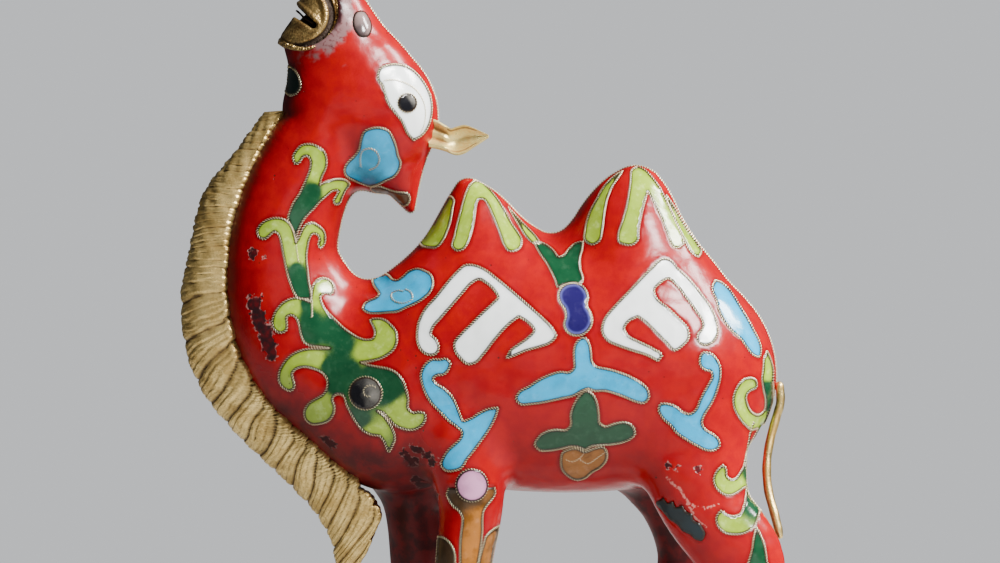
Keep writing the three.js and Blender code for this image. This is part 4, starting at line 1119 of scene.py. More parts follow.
wire_tree = tree_of(np.vstack(wire_points))
away = np.array([wire_tree.find(p)[2] for p in shell_points])
under = np.zeros(len(shell_points), bool)
for side in (LEFT, RIGHT):
    seen = np.flatnonzero((shell_facing[:, 1] * side > FACING_EYE) & (shell_points[:, 1] * side > 0))
    along = EYE_DISTANCE / (EYE_DISTANCE - side * shell_points[seen, 1:2])
    flat = (shell_points[seen][:, [0, 2]] - [EYE_X, EYE_Z]) * along + [EYE_X, EYE_Z]
    for cell in [cell for cell in CELLS if not cell["crown"]]:
        path = shifted(cell["path"], cell, side)
        hit = np.flatnonzero(np.all((flat > path.min(0)) & (flat < path.max(0)), axis=1))
        hit = hit[inside_outline(flat[hit], path)]
        under[seen[hit]] = True
x, y, z = shell_points.T
profile = shell_points[:, [0, 2]]
chipped = np.full(len(shell_points), NONE_NEAR)
for line, radius in CHIPS:
    trail = resample(np.array(line), CHIP_STEP, False) if len(line) > 1 else line
    chipped = np.minimum(chipped, distance_to(trail, profile) - radius)
chipped = np.where(y < 0, chipped, NONE_NEAR)
crack_trail = np.vstack([resample(np.array(line), CRACK_STEP, False) for line in CRACKS])
cracked = np.where(y < 0, distance_to(crack_trail, profile), NONE_NEAR)
from_seat = np.hypot(x - SEAT_X, z - SEAT_Z)
towards_face = np.clip((x - SEAT_X) / from_seat, 0, 1)
smoke = (1 - fade_in(from_seat, SEAT_RADIUS, SMOKE_REACH)) * (0.3 + 0.7 * towards_face)
# Painted shade where the shell faces away from the lamps: the inner faces of the legs, the neck beside the
# mane and the underside of the chest.
inner_face = np.clip(0.4 - 3 * shell_facing[:, 1] * np.sign(y), 0, 1)
dull_gilt_and_painted_shade = inner_face * fade_in(-z, -PAINTED_SHADE_BELOW, PAINTED_SHADE_FADE)
beside_mane = fade_in(-shell_facing[:, 0], *SHADE_BESIDE_MANE) * (x < NECK_BEFORE)
under_chest = fade_in(-shell_facing[:, 2], *SHADE_UNDER_CHEST) * fade_in(-x, *CHEST_BEFORE) * (z < CHEST_BELOW)
dull_gilt_and_painted_shade = np.maximum(dull_gilt_and_painted_shade, LESS_SHADE * np.maximum(beside_mane, under_chest))
sunk = fade_in(away, SINK_FROM, SINK_WIDTH)
height = GROUND + np.where(under, -SINK * sunk, CLIMB * np.exp(-away / CLIMB_WIDTH))
height *= fade_in(z, 0, SOLE_EDGE)
make_piece(
    "red_ground",
    shell_points + shell_facing * height[:, None],
    shell_quads,
    replaces=["body"],
    values={"away": away, "chip": chipped, "crack": cracked, "smoke": smoke, "dull_gilt_and_painted_shade": dull_gilt_and_painted_shade},
)

# %% [markdown]
# ## The muzzle
#
# The muzzle is a gilt casting that caps the snout. It could be built from rings, but its rolled
# lip, its groove and its slit mouth run in different directions, so it is one more field: the snout
# with a collar raised on it, a groove carved before the collar, a roll laid along the lip and a
# mouth cut in. A thin tongue is left standing in the mouth.

# %% Muzzle
SNOUT = [
    (-24.7, 99.6, 5.9, 5.6),
    (-24.1, 102.3, 4.4, 5.4),
    (-23.8, 104.9, 3.7, 4.8),
    (-24.1, 106.7, 2.6, 3.8),
]
SNOUT_ROWS = make_limb(SNOUT)
COLLAR_FROM, COLLAR_SLOPE, COLLAR_RAISE = 5.1, 0.3, 0.22
LIP_X, LIP_Z = -27.5, 103.3
GROOVE_AT, GROOVE_RADIUS = 4.5, 0.5
ROLL_AT, ROLL_RADIUS, ROLL_DEPTH = 3.65, 0.55, 0.12
MOUTH_X, MOUTH_Z, MOUTH_RISE = -25.75, 101.75, 38.0
MOUTH_OPEN, MOUTH_WIDENS, MOUTH_DEEP = 0.5, 0.07, 1.7
LIP_OUT, LIP_RADIUS = 0.4, 0.38
TONGUE_THICK, TONGUE_BACK, TONGUE_BOW = 0.14, 0.25, 0.15
NOSTRIL, NOSTRIL_SIZE = np.array([-27.0, 2.2, 107.0]), np.array([0.9, 0.6, 0.5])
JAW_X, JAW_Z, JAW_SLOPE = -28.5, 103.5, (-0.8, 0.6)  # the lower jaw ends short of the upper one
MUZZLE_STEP = 0.16
MUZZLE_LOW, MUZZLE_HIGH = (-33.2, -6.2, 96.8), (-20.8, 6.2, 110.0)
DIRT_AND_SHADE_FROM, DIRT_AND_SHADE_DEPTH = -0.12, 0.3  # how far under the plain snout the hollows turn brown: tarnish and painted shade
SNOUT_GRAIN = 0.25
CAST_ROUGH = 0.06


def wave_noise(u, v, seed):
    """Smooth noise from a few waves, between about -1 and 1."""
    dice = np.random.default_rng(seed)
    total = 0
    for _ in range(7):
        a, b, phase = dice.uniform(-1, 1), dice.uniform(-1, 1), dice.uniform(0, 2 * math.pi)
        total = total + np.sin(2 * math.pi * (a * u + b * v) + phase)
    return total / 3.2


def soft_cut(a, b, fillet):
    return -soft_union(-a, b, fillet)


def muzzle_field(points):
    x, y, z = points.T
    skin = limb_field(SNOUT_ROWS, points)
    out = np.hypot(x - SEAT_X, z - SEAT_Z)
    from_lip = np.hypot(x - LIP_X, z - LIP_Z)
    back = np.clip(((x - LIP_X) - 0.3 * (z - LIP_Z)) / 3.0 + 0.1, 0, 1)  # 1 towards the face
    field = skin - COLLAR_RAISE * fade_in(out, COLLAR_FROM, COLLAR_SLOPE)
    field = field - CAST_ROUGH * wave_noise(x / 1.5 + y / 4, z / 1.5 - y / 4, 21)
    field = soft_union(field, np.hypot(from_lip - ROLL_AT, skin + ROLL_DEPTH) - ROLL_RADIUS * back, 0.35)
    carved = np.hypot(from_lip - GROOVE_AT, skin - 0.1) - GROOVE_RADIUS * (0.4 + 0.6 * back)
    field = soft_cut(field, carved, 0.15)
    rise = math.radians(MOUTH_RISE)
    along = -(x - MOUTH_X) * math.cos(rise) + (z - MOUTH_Z) * math.sin(rise)
    over = (x - MOUTH_X) * math.sin(rise) + (z - MOUTH_Z) * math.cos(rise)
    gap = MOUTH_OPEN + MOUTH_WIDENS * np.maximum(along, 0)
    from_mouth = np.hypot(np.minimum(along, 0), over) - gap
    lip = np.hypot(from_mouth - LIP_OUT, skin + 0.05) - LIP_RADIUS
    field = soft_union(field, lip, 0.3)
    before_jaw = (x - JAW_X) * JAW_SLOPE[0] + (z - JAW_Z) * JAW_SLOPE[1]
    field = soft_cut(field, np.maximum(-before_jaw, over - 0.2), 0.5)
    field = soft_cut(field, np.maximum(from_mouth, -(skin + MOUTH_DEEP)), 0.25)
    bow = over - 0.22 + TONGUE_BOW * np.sin(np.clip(along, 0, 3) * math.pi / 3)
    tongue = np.maximum.reduce([np.abs(bow) - TONGUE_THICK, -along + 0.1, skin + TONGUE_BACK])
    field = soft_union(field, tongue, 0.1)
    hole = np.stack([x, np.abs(y), z]) - NOSTRIL[:, None]
    hole = np.linalg.norm(hole / NOSTRIL_SIZE[:, None], axis=0)
    field = soft_cut(field, (hole - 1) * 0.5, 0.2)
    return np.maximum(field, out - (SEAT_RADIUS - 0.02))


points, faces, _ = net(muzzle_field, MUZZLE_LOW, MUZZLE_HIGH, MUZZLE_STEP, relax=1)
out = np.hypot(points[:, 0] - SEAT_X, points[:, 2] - SEAT_Z)
# The groove, the mouth and the nostrils are browned by their depth under the snout: tarnish and painted
# shade.
dirt_and_shade = fade_in(-limb_field(SNOUT_ROWS, points), DIRT_AND_SHADE_FROM, DIRT_AND_SHADE_DEPTH)
grain = np.maximum(fade_in(out, COLLAR_FROM, COLLAR_SLOPE), SNOUT_GRAIN)
make_piece("muzzle_cast", points, faces, ["muzzle"], {"dirt_and_shade": dirt_and_shade, "grain": grain})

# %% [markdown]
# ## The mane
#
# The mane is one casting too: a half-round fringe on the front of the neck, all of it short locks
# of hair that lie across it. It is laid up as a sheet. One way runs down the neck, the other goes
# from the left edge over the front to the right edge. Locks and strands are waves on that sheet,
# and each lock ends round, so the inner edge is ragged.

# %% Mane
MANE = [  # outer edge x, z, inner edge x, z, and how wide it is
    (-33.1, 88.9, -29.6, 89.1, 0.5),
    (-37.0, 83.6, -33.0, 83.3, 0.75),
    (-42.0, 77.1, -36.3, 76.1, 0.95),
    (-44.5, 67.5, -38.0, 67.5, 1.0),
    (-45.6, 60.8, -37.7, 60.8, 1.0),
    (-44.9, 53.3, -36.5, 53.3, 1.0),
    (-42.4, 47.0, -33.2, 47.6, 1.0),
    (-36.8, 40.1, -28.1, 41.9, 1.0),
    (-30.1, 33.6, -22.5, 37.1, 1.0),
    (-25.1, 28.2, -17.7, 32.9, 0.95),
    (-23.1, 24.5, -14.8, 29.3, 0.85),
    (-22.3, 21.0, -16.4, 24.6, 0.65),
    (-21.0, 17.6, -20.2, 17.8, 0.3),
]
MANE_HALF_WIDTH = 4.3
MANE_ALONG, MANE_ACROSS = 0.14, 60
CLUMP_PITCH, CLUMP_DEPTH = 3.4, 0.42
LOCKS, LOCK_DEPTH = 3, 0.2  # locks in a clump
STRANDS, STRAND_DEPTH = 2, 0.1  # strands in a lock
SLANTS = [(18.0, 3.5), (28.0, 7.0), (44.0, 8.0), (53.0, 5.0), (63.0, 0.0)]  # height, drop of a lock outward
RAGGED = 0.9
EDGE_REACH, EDGE_ABOVE, EDGE_DEPTH = 1.6, 33.5, 0.2  # where the edges are drawn down onto the neck
EMBEDDED, LONGEST_MOVE = 0.35, 2.0
BACK_COLUMNS = 9
BACK_DIRT_AND_SHADE, CAP_DIRT = 0.35, 0.5


def chance(number, seed):
    """A fixed random value between 0 and 1 for each whole number."""
    table = np.random.default_rng(seed).uniform(0, 1, 512)
    return table[np.asarray(number, int) % 512]


mane_rows = smooth_rows([[a + SHIFT_X, b, c + SHIFT_X, d, e] for a, b, c, d, e in MANE], 24)
gone = np.r_[0, np.cumsum(np.hypot(*np.diff(mane_rows[:, :2], axis=0).T))]
down = np.linspace(0, gone[-1], round(gone[-1] / MANE_ALONG))
mane_rows = np.stack([np.interp(down, gone, column) for column in mane_rows.T], 1)
turn = np.linspace(-math.pi / 2, math.pi / 2, MANE_ACROSS)
down_grid, turn_grid = np.meshgrid(down, turn, indexing="ij")
front = np.cos(turn_grid) ** 0.8
side_way = np.sin(turn_grid)
outer = mane_rows[:, None, [0, 1]]
inner = mane_rows[:, None, [2, 3]]
inward = inner - outer
thick = np.linalg.norm(inward, axis=2, keepdims=True)
inward = inward / thick
clear = 0.3 + 0.7 * np.clip((66 - outer[..., 1]) / 10, 0, 1)  # clear locks below, rougher ones above
slant = np.interp(outer[..., 1], *np.array(SLANTS).T)
clump = (down_grid - slant * front + 0.6 * wave_noise(down_grid / 9, turn_grid / 3, 3)) / CLUMP_PITCH


def humps(position):
    """Round humps side by side: how high, and the number of the hump."""
    number = np.floor(position)
    return np.sqrt(np.clip(1 - (2 * (position - number) - 1) ** 2, 0, 1)), number


clump_hump, number = humps(clump)
lock_hump, lock_number = humps(clump * LOCKS + 0.15 * wave_noise(down_grid / 3, turn_grid, 4))
strand_hump, _ = humps(clump * LOCKS * STRANDS + 0.22 * wave_noise(down_grid / 2, turn_grid * 1.5, 5))
rough = wave_noise(down_grid / 0.9, turn_grid * 2.2, 7) * (1.4 - clear)
set_back = CLUMP_DEPTH * (1 - clump_hump) * clear + LOCK_DEPTH * (1 - lock_hump)
set_back = set_back + STRAND_DEPTH * (1 - strand_hump) + 0.09 * (1.3 - rough)
set_back = set_back + 0.12 * chance(lock_number, 11)
fade = np.clip(thick[..., 0] / 3, 0.15, 1)
edge = np.clip(1 - front * 4, 0, 1)
short = RAGGED * (1 - clump_hump) * clear + 0.3 * (1 - lock_hump) + 0.5 * chance(number, 13)
back = thick[..., 0] * (1 - front) - short * edge
walk = back + set_back * fade * (1 - edge)
width = MANE_HALF_WIDTH * mane_rows[:, None, 4] - set_back * 0.7 * fade
flat = outer + inward * walk[..., None]
front_skin = np.stack([flat[..., 0], width * side_way, flat[..., 1]], -1)
for column in (0, -1):
    rim = front_skin[:, column]
    touching = (np.abs(shell_field(rim)) < EDGE_REACH) & (rim[:, 2] > EDGE_ABOVE)
    placed, facing = onto_surface(shell_field, rim[touching])
    rim[touching] = placed - EDGE_DEPTH * facing

across = np.linspace(1, -1, BACK_COLUMNS + 2)[1:-1]
back_skin = np.stack(
    [
        np.repeat(front_skin[:, :1, 0] + 0.1, BACK_COLUMNS, 1),
        front_skin[:, -1:, 1] * across[None, :],
        np.repeat(front_skin[:, :1, 2], BACK_COLUMNS, 1),
    ],
    -1,
).reshape(-1, 3)
deep = shell_field(back_skin) < -EMBEDDED
placed, facing = onto_surface(shell_field, back_skin[deep])
placed = placed - facing * EMBEDDED
small_move = np.linalg.norm(placed - back_skin[deep], axis=1, keepdims=True) < LONGEST_MOVE
back_skin[deep] = np.where(small_move, placed, back_skin[deep])
mane_rings = np.concatenate([front_skin, back_skin.reshape(len(down), BACK_COLUMNS, 3)], 1)


def skin_over_rings(rings):
    """Quads round the rings and a fan of triangles over both ends."""
    count, sides = rings.shape[:2]
    ring = np.arange(count - 1)[:, None]
    corner = np.arange(sides)[None, :]
    nxt = (corner + 1) % sides
    this, after = ring * sides, (ring + 1) * sides
    quads = np.stack([this + corner, this + nxt, after + nxt, after + corner], -1)
    points = np.vstack([rings.reshape(-1, 3), rings[:1].mean(1), rings[-1:].mean(1)])
    faces = quads.reshape(-1, 4).tolist()
    first, last = count * sides, count * sides + 1
    for i in range(sides):
        j = (i + 1) % sides
        faces.append([j, i, first])
        faces.append([(count - 1) * sides + i, (count - 1) * sides + j, last])
    return points, faces


def outward(points, faces):
    """Turns the faces over if they look inward."""
    volume = 0.0
    for face in faces:
        a, b, c = points[face[0]], points[face[1]], points[face[2]]
        volume += float(np.dot(a, np.cross(b, c)))
        if len(face) == 4:
            volume += float(np.dot(a, np.cross(c, points[face[3]])))
    return faces if volume > 0 else [face[::-1] for face in faces]


def make_rings(name, rings, node, dirt_and_shade):
    """A smooth gilt casting over rings, with nothing punched into it."""
    points, faces = skin_over_rings(rings)
    faces = outward(points, faces)
    threes = [f for f in faces if len(f) == 3]
    fours = [f for f in faces if len(f) == 4]
    split = [[f[0], f[1], f[2]] for f in fours] + [[f[0], f[2], f[3]] for f in fours]
    return make_piece(name, points, threes + split, [node], {"dirt_and_shade": dirt_and_shade, "grain": 0 * dirt_and_shade})


# The grooves between clumps, locks and strands are browned by their depth, and so is the back that lies on
# the neck: tarnish and painted shade.
dirt_and_shade = np.clip(set_back / 0.75 + 0.2 * (1 - strand_hump), 0, 1)
dirt_and_shade = np.hstack([dirt_and_shade, np.full((len(down), BACK_COLUMNS), BACK_DIRT_AND_SHADE)])
make_rings("mane_cast", mane_rings, "mane", np.hstack([dirt_and_shade.ravel(), [CAP_DIRT, CAP_DIRT]]))

# %% [markdown]
# ## Ears and tail
#
# Each ear is a leaf of sheet: a stem folded lengthwise, then a spoon-like cup that ends in a point.
# The tail is one bent rod that leans to the left.

# %% Ears
EAR_MIDDLE_Y, EAR_SPLAY, EAR_SHEET = -2.6, -1.5, 0.42
EAR = [  # x, top edge, bottom edge, how deep it is dished, how deep the stem is folded
    (-8.1, 88.1, 83.6, 0.7, 0.4),
    (-6.9, 87.6, 83.4, 0.8, 0.45),
    (-5.5, 86.8, 83.0, 0.8, 0.4),
    (-4.8, 86.4, 82.7, 1.3, 0.1),
    (-4.1, 86.6, 82.5, 1.6, 0.0),
    (-2.7, 86.9, 82.8, 1.5, 0.0),
    (-1.5, 86.5, 83.6, 1.1, 0.0),
    (-0.4, 86.0, 84.3, 0.7, 0.0),
    (0.85, 85.4, 85.15, 0.1, 0.0),
]
EAR_ACROSS = 40


def make_ear(name, side, node):
    rows = smooth_rows([[x, (a + b) / 2, (a - b) / 2, dish, fold] for x, a, b, dish, fold in EAR], 12)
    x, z, half, dish, fold = rows.T[..., None]
    v = np.linspace(-1, 1, EAR_ACROSS)[None, :]
    gone = (x - x[0]) / (x[-1] - x[0])
    folded = fold * np.abs(((v + 0.35) * 1.25) % 1.0 - 0.5) * 2
    rim = 0.25 * np.exp(-(((np.abs(v) - 1) / 0.12) ** 2)) * (1 - np.clip(fold / 0.2, 0, 1))
    y = EAR_MIDDLE_Y + EAR_SPLAY * gone + dish * (1 - np.abs(v) ** 1.8) + folded - 0.3 * rim
    rolled = EAR_SHEET * (1 - 0.65 * v**6)
    outer_skin, inner_skin = [
        np.stack([x + 0 * v + SHIFT_X, -side * across, z + half * v], -1) for across in (y - rolled, y)
    ]
    rings = np.concatenate([outer_skin, inner_skin[:, ::-1]], 1)
    # Painted shade in the creases of the cup and the folds of the stem, over a little tarnish all over the
    # ear.
    crease = np.exp(-(((np.abs(v) - 0.8) / 0.07) ** 2)) * (dish > 0.9)
    crease_shade_and_tarnish = 0.2 + 0.8 * crease + 0.7 * np.clip(folded / 0.45, 0, 1)
    dirt_and_shade = np.concatenate([crease_shade_and_tarnish, crease_shade_and_tarnish[:, ::-1]], 1).ravel()
    make_rings(name, rings, node, np.hstack([dirt_and_shade, [0, 0]]))


make_ear("ear_leaf_left", LEFT, "ear_left")
make_ear("ear_leaf_right", RIGHT, "ear_right")

# %% Tail
TAIL = [
    (44.2, 48.5, -2.0),
    (44.45, 47.3, -2.1),
    (44.5, 45.4, -2.2),
    (43.95, 43.4, -2.4),
    (42.95, 39.8, -2.9),
    (42.4, 36.2, -3.6),
    (42.6, 32.4, -4.2),
    (43.55, 28.6, -5.0),
    (44.4, 25.2, -5.4),
]
TAIL_RADIUS, TAIL_SIDES, TAIL_DIRT = 0.68, 20, 0.1
ROUND_END = np.sqrt(np.linspace(0.2, 1, 5))
rows = smooth_rows([[x + SHIFT_X, z, y] for x, z, y in TAIL], 10)
middle = rows[:, [0, 2, 1]]
along = unit(np.gradient(middle, axis=0))
across = unit(np.cross(along, [0, 1.0, 0]))
third = np.cross(along, across)
step = np.arange(len(middle))
radius = TAIL_RADIUS * (1 - 0.06 * (1 + np.sin(step * 0.7)) / 2)
radius[: len(ROUND_END)] *= ROUND_END
radius[-len(ROUND_END) :] *= ROUND_END[::-1]
turns = np.arange(TAIL_SIDES) * 2 * math.pi / TAIL_SIDES
ring_way = across[:, None] * np.cos(turns)[:, None] + third[:, None] * np.sin(turns)[:, None]
rings = middle[:, None] + ring_way * radius[:, None, None]
make_rings("tail_rod", rings, "tail", np.full(len(middle) * TAIL_SIDES + 2, TAIL_DIRT))

# %% [markdown]
# ## Finishes
#
# Two effects come back in every finish here. Fired enamel that was never ground flat is wavy,
# slightly grainy and pricked with burst bubbles. Old gilding is bright where hands rub it and
# brown in every hollow, and that brown also paints the shade in the hollows. Each is one node group
# that gives out plain colours, masks and normals.

# %% Helpers for shader nodes
def put(tree, kind, inputs=None, **settings):
    """Adds a node. An input is given by name or number, as a value or as another node's output."""
    node = tree.nodes.new("ShaderNode" + kind)
    for key, value in settings.items():
        setattr(node, key, value)
    for key, value in (inputs or {}).items():
        if isinstance(value, bpy.types.NodeSocket):
            tree.links.new(value, node.inputs[key])
        else:
            node.inputs[key].default_value = value
    return node


def calc(tree, operation, a, b=0.0, c=0.0):
    return put(tree, "Math", {0: a, 1: b, 2: c}, operation=operation).outputs[0]


def ramp(tree, value, low, high, start=0.0, end=1.0):
    """Maps a value between low and high smoothly to start and end."""
    inputs = {"Value": value, "From Min": low, "From Max": high, "To Min": start, "To Max": end}
    return put(tree, "MapRange", inputs, interpolation_type="SMOOTHSTEP").outputs["Result"]


def noise(tree, place, scale, detail=2.0, roughness=0.5):
    inputs = {"Vector": place, "Scale": scale, "Detail": detail, "Roughness": roughness}
    return put(tree, "TexNoise", inputs).outputs["Fac"]


def mix(tree, factor, a, b):
    """Color a where the factor is 0 and b where it is 1."""
    first, second = [c if isinstance(c, bpy.types.NodeSocket) else (*c, 1.0) for c in (a, b)]
    return put(tree, "Mix", {0: factor, 6: first, 7: second}, data_type="RGBA").outputs[2]


def blend(tree, mask, share, a, b):
    """A mix in which the mask counts only for its share."""
    return mix(tree, calc(tree, "MULTIPLY", mask, share), a, b)


def sway(tree, value, wander, amount):
    """A value that a noise moves up and down by up to half the amount."""
    return calc(tree, "MULTIPLY_ADD", calc(tree, "SUBTRACT", wander, 0.5), amount, value)


def attribute(tree, name):
    return put(tree, "Attribute", attribute_name=name).outputs["Fac"]


def place_in_mm(tree):
    place = put(tree, "TexCoord").outputs["Object"]
    return put(tree, "VectorMath", {0: place, "Scale": 1 / MM}, operation="SCALE").outputs[0]


def new_group(name, inputs, outputs):
    tree = bpy.data.node_groups.new(name, "ShaderNodeTree")
    kinds = {"f": "NodeSocketFloat", "c": "NodeSocketColor", "v": "NodeSocketVector"}
    for key, kind in inputs:
        tree.interface.new_socket(key, in_out="INPUT", socket_type=kinds[kind])
    for key, kind in outputs:
        tree.interface.new_socket(key, in_out="OUTPUT", socket_type=kinds[kind])
    entry = tree.nodes.new("NodeGroupInput")
    exit_node = tree.nodes.new("NodeGroupOutput")
    return tree, entry.outputs, exit_node.inputs


def use_group(tree, group, inputs):
    return put(tree, "Group", inputs, node_tree=group).outputs


# %% Group: the skin of fired enamel
def make_enamel_skin():
    """Pits is 1 in a burst bubble. Cloud wanders between 0 and 1 over a few millimetres."""
    tree, given, result = new_group(
        "Fired enamel skin",
        [("Waviness", "f"), ("Pit Size", "f")],
        [("Cloud", "f"), ("Pits", "f"), ("Speck", "f"), ("Normal", "v")],
    )
    place = place_in_mm(tree)
    swell = noise(tree, place, 0.22, 1.0)
    wave = noise(tree, place, 0.9, 1.0)
    grain = noise(tree, place, 5.0, 2.0)
    cloud = noise(tree, place, 0.45, 4.0, 0.6)
    speck = noise(tree, place, 9.0, 3.0, 0.7)
    bubbles = put(tree, "TexVoronoi", {"Vector": place, "Scale": 0.9})
    which = put(tree, "SeparateColor", {0: bubbles.outputs["Color"]}).outputs[0]
    size = calc(tree, "MULTIPLY", calc(tree, "SUBTRACT", which, 0.72), given["Pit Size"])
    pits = ramp(tree, calc(tree, "SUBTRACT", size, bubbles.outputs["Distance"]), 0.0, 0.03)
    height = calc(tree, "MULTIPLY", swell, 0.5)
    height = calc(tree, "MULTIPLY_ADD", wave, 0.035, height)
    height = calc(tree, "MULTIPLY", height, given["Waviness"])
    height = calc(tree, "MULTIPLY_ADD", grain, 0.006, height)
    height = calc(tree, "MULTIPLY_ADD", pits, -0.05, height)
    bump = put(tree, "Bump", {"Height": height, "Strength": 1.0, "Distance": MM})
    for key, socket in (("Cloud", cloud), ("Pits", pits), ("Speck", speck), ("Normal", bump.outputs[0])):
        tree.links.new(socket, result[key])
    return tree


enamel_skin = make_enamel_skin()


# %% Group: worn gilding
def make_worn_gilt():
    """Dirt and Shade is 1 in a hollow: tarnish never rubbed clean, and painted shade. Grain is 1 where the
    metal is punched.
    """
    tree, given, result = new_group(
        "Worn gilding",
        [("Dirt and Shade", "f"), ("Grain", "f"), ("Metal", "f"), ("Bright", "c"), ("Dull", "c"), ("Brown", "c")],
        [("Color", "c"), ("Roughness", "f"), ("Metallic", "f"), ("Normal", "v")],
    )
    place = place_in_mm(tree)
    cloud = noise(tree, place, 0.35, 4.0, 0.6)
    fine = noise(tree, place, 3.5, 4.0, 0.65)
    speck = noise(tree, place, 12.0, 2.0)
    rubbed = sway(tree, cloud, fine, 0.9)
    color = mix(tree, ramp(tree, rubbed, 0.3, 0.7), given["Dull"], given["Bright"])
    brown = ramp(tree, sway(tree, given["Dirt and Shade"], fine, 0.8), 0.35, 0.95)
    color = mix(tree, brown, color, given["Brown"])
    rough = ramp(tree, rubbed, 0.2, 0.8, 0.42, 0.26)
    rough = calc(tree, "MULTIPLY_ADD", brown, 0.3, rough)
    punched = put(tree, "TexVoronoi", {"Vector": place, "Scale": 3.2}).outputs["Distance"]
    punched = calc(tree, "MULTIPLY", calc(tree, "MULTIPLY", punched, given["Grain"]), 0.35)
    height = calc(tree, "MULTIPLY_ADD", fine, 0.05, punched)
    height = calc(tree, "MULTIPLY_ADD", speck, 0.01, height)
    bump = put(tree, "Bump", {"Height": height, "Strength": 1.0, "Distance": MM})
    metal = calc(tree, "MULTIPLY", calc(tree, "MULTIPLY_ADD", brown, -0.55, 1.0), given["Metal"])
    outputs = (("Color", color), ("Roughness", rough), ("Metallic", metal), ("Normal", bump.outputs[0]))
    for key, socket in outputs:
        tree.links.new(socket, result[key])
    return tree


worn_gilt = make_worn_gilt()


# %% Materials
def new_material(name):
    material = bpy.data.materials.new(name)
    material.use_nodes = True
    tree = material.node_tree
    return material, tree, tree.nodes["Principled BSDF"]


def connect(tree, shader, sockets):
    for key, socket in sockets.items():
        tree.links.new(socket, shader.inputs[key])


PIT = (0.03, 0.015, 0.012)
GRIME_AND_SHADE = (0.02, 0.012, 0.008)


# A dark line in the crease beside every wire: partly grime, partly painted shade.
def grime_and_shade_beside_wires(tree, away, speck):
    return ramp(tree, sway(tree, away, speck, 0.25), 0.2, 0.34, 0.95, 0.0)


def cell_enamel(name, first, second, rim=None, roughness=0.16, waviness=0.5, speckle=0.25, milky=0.3):
    """Glass of two colours side by side. The tone says which, and the border is uneven."""
    material, tree, shader = new_material(name)
    skin = use_group(tree, enamel_skin, {"Waviness": waviness, "Pit Size": 0.35})
    uneven = sway(tree, attribute(tree, "tone"), skin["Speck"], 0.5)
    uneven = sway(tree, uneven, skin["Cloud"], 0.3)
    color = mix(tree, ramp(tree, uneven, 0.15, 0.85), first, second)
    dark = put(tree, "HueSaturation", {"Color": color, "Value": 0.62, "Saturation": 1.1}).outputs[0]
    color = blend(tree, ramp(tree, skin["Cloud"], 0.45, 0.7), speckle * 1.6, color, dark)
    color = blend(tree, ramp(tree, skin["Speck"], 0.62, 0.72), speckle, color, dark)
    pale = put(tree, "HueSaturation", {"Color": color, "Value": 1.7, "Saturation": 0.8}).outputs[0]
    milk = ramp(tree, noise(tree, place_in_mm(tree), 0.8, 3.0, 0.6), 0.5, 0.72)
    color = blend(tree, milk, milky, color, pale)
    away = attribute(tree, "away")
    # Towards the wire the glass takes the rim colour where a cell has one, and is else darkened as painted
    # shade; a line of grime and painted shade follows the crease beside the wire.
    color = mix(tree, ramp(tree, away, 0.2, 0.75, 0.6, 0.0), color, rim or dark)
    color = mix(tree, grime_and_shade_beside_wires(tree, away, skin["Speck"]), color, GRIME_AND_SHADE)
    color = mix(tree, skin["Pits"], color, PIT)
    connect(tree, shader, {"Base Color": color, "Normal": skin["Normal"]})
    shader.inputs["Roughness"].default_value = roughness
    shader.inputs["Specular IOR Level"].default_value = 0.4
    return material


LIME, GREEN = (0.3, 0.44, 0.035), (0.007, 0.055, 0.022)
TURQUOISE, TEAL = (0.0, 0.37, 0.68), (0.01, 0.12, 0.18)
WHITE, WHITE_SHADE = (0.93, 0.97, 0.97), (0.72, 0.78, 0.76)
INDIGO, BLUE = (0.014, 0.008, 0.08), (0.14, 0.15, 0.5)
OCHRE, OLIVE = (0.36, 0.13, 0.018), (0.05, 0.026, 0.01)
LILAC = (0.58, 0.26, 0.44)
BLACK, GREY = (0.006, 0.006, 0.008), (0.2, 0.19, 0.17)
SMOKY, SMOKY_PALE = (0.07, 0.05, 0.05), (0.26, 0.18, 0.17)
DARK_TEAL, DARK_GREEN = (0.005, 0.02, 0.035), (0.003, 0.012, 0.009)
ENAMELS = {
    "leaf": cell_enamel("lime and green enamel", LIME, GREEN, milky=0.45),
    "turquoise": cell_enamel("turquoise enamel", TURQUOISE, TEAL, milky=0.1),
    "white": cell_enamel("white enamel", WHITE, WHITE_SHADE, speckle=0.1, milky=0.0),
    "indigo": cell_enamel("indigo enamel", INDIGO, BLUE, rim=BLUE),
    "teal": cell_enamel("dark teal enamel", DARK_TEAL, DARK_GREEN, roughness=0.35, speckle=0.8, milky=0.0),
    "ochre": cell_enamel("ochre enamel", OCHRE, OLIVE, roughness=0.28, speckle=0.7),
    "lilac": cell_enamel("lilac enamel", LILAC, LILAC, roughness=0.25, milky=0.0),
    "dark": cell_enamel("black and grey enamel", BLACK, GREY, speckle=0.5),
    "smoky": cell_enamel("smoky enamel", SMOKY, SMOKY_PALE, speckle=0.6),
}


# %% Red ground
RED, DEEP_RED, ORANGE_RED = (0.29, 0.0, 0.005), (0.1, 0.0, 0.003), (0.36, 0.001, 0.003)
SCORCHED, ASH, SHADE_RED = (0.02, 0.002, 0.004), (0.2, 0.14, 0.14), (0.03, 0.003, 0.004)
BROKEN_EDGE = (0.45, 0.22, 0.2)
PALE_CRACK = (0.6, 0.2, 0.17)
CHIP_DEPTH = 0.12


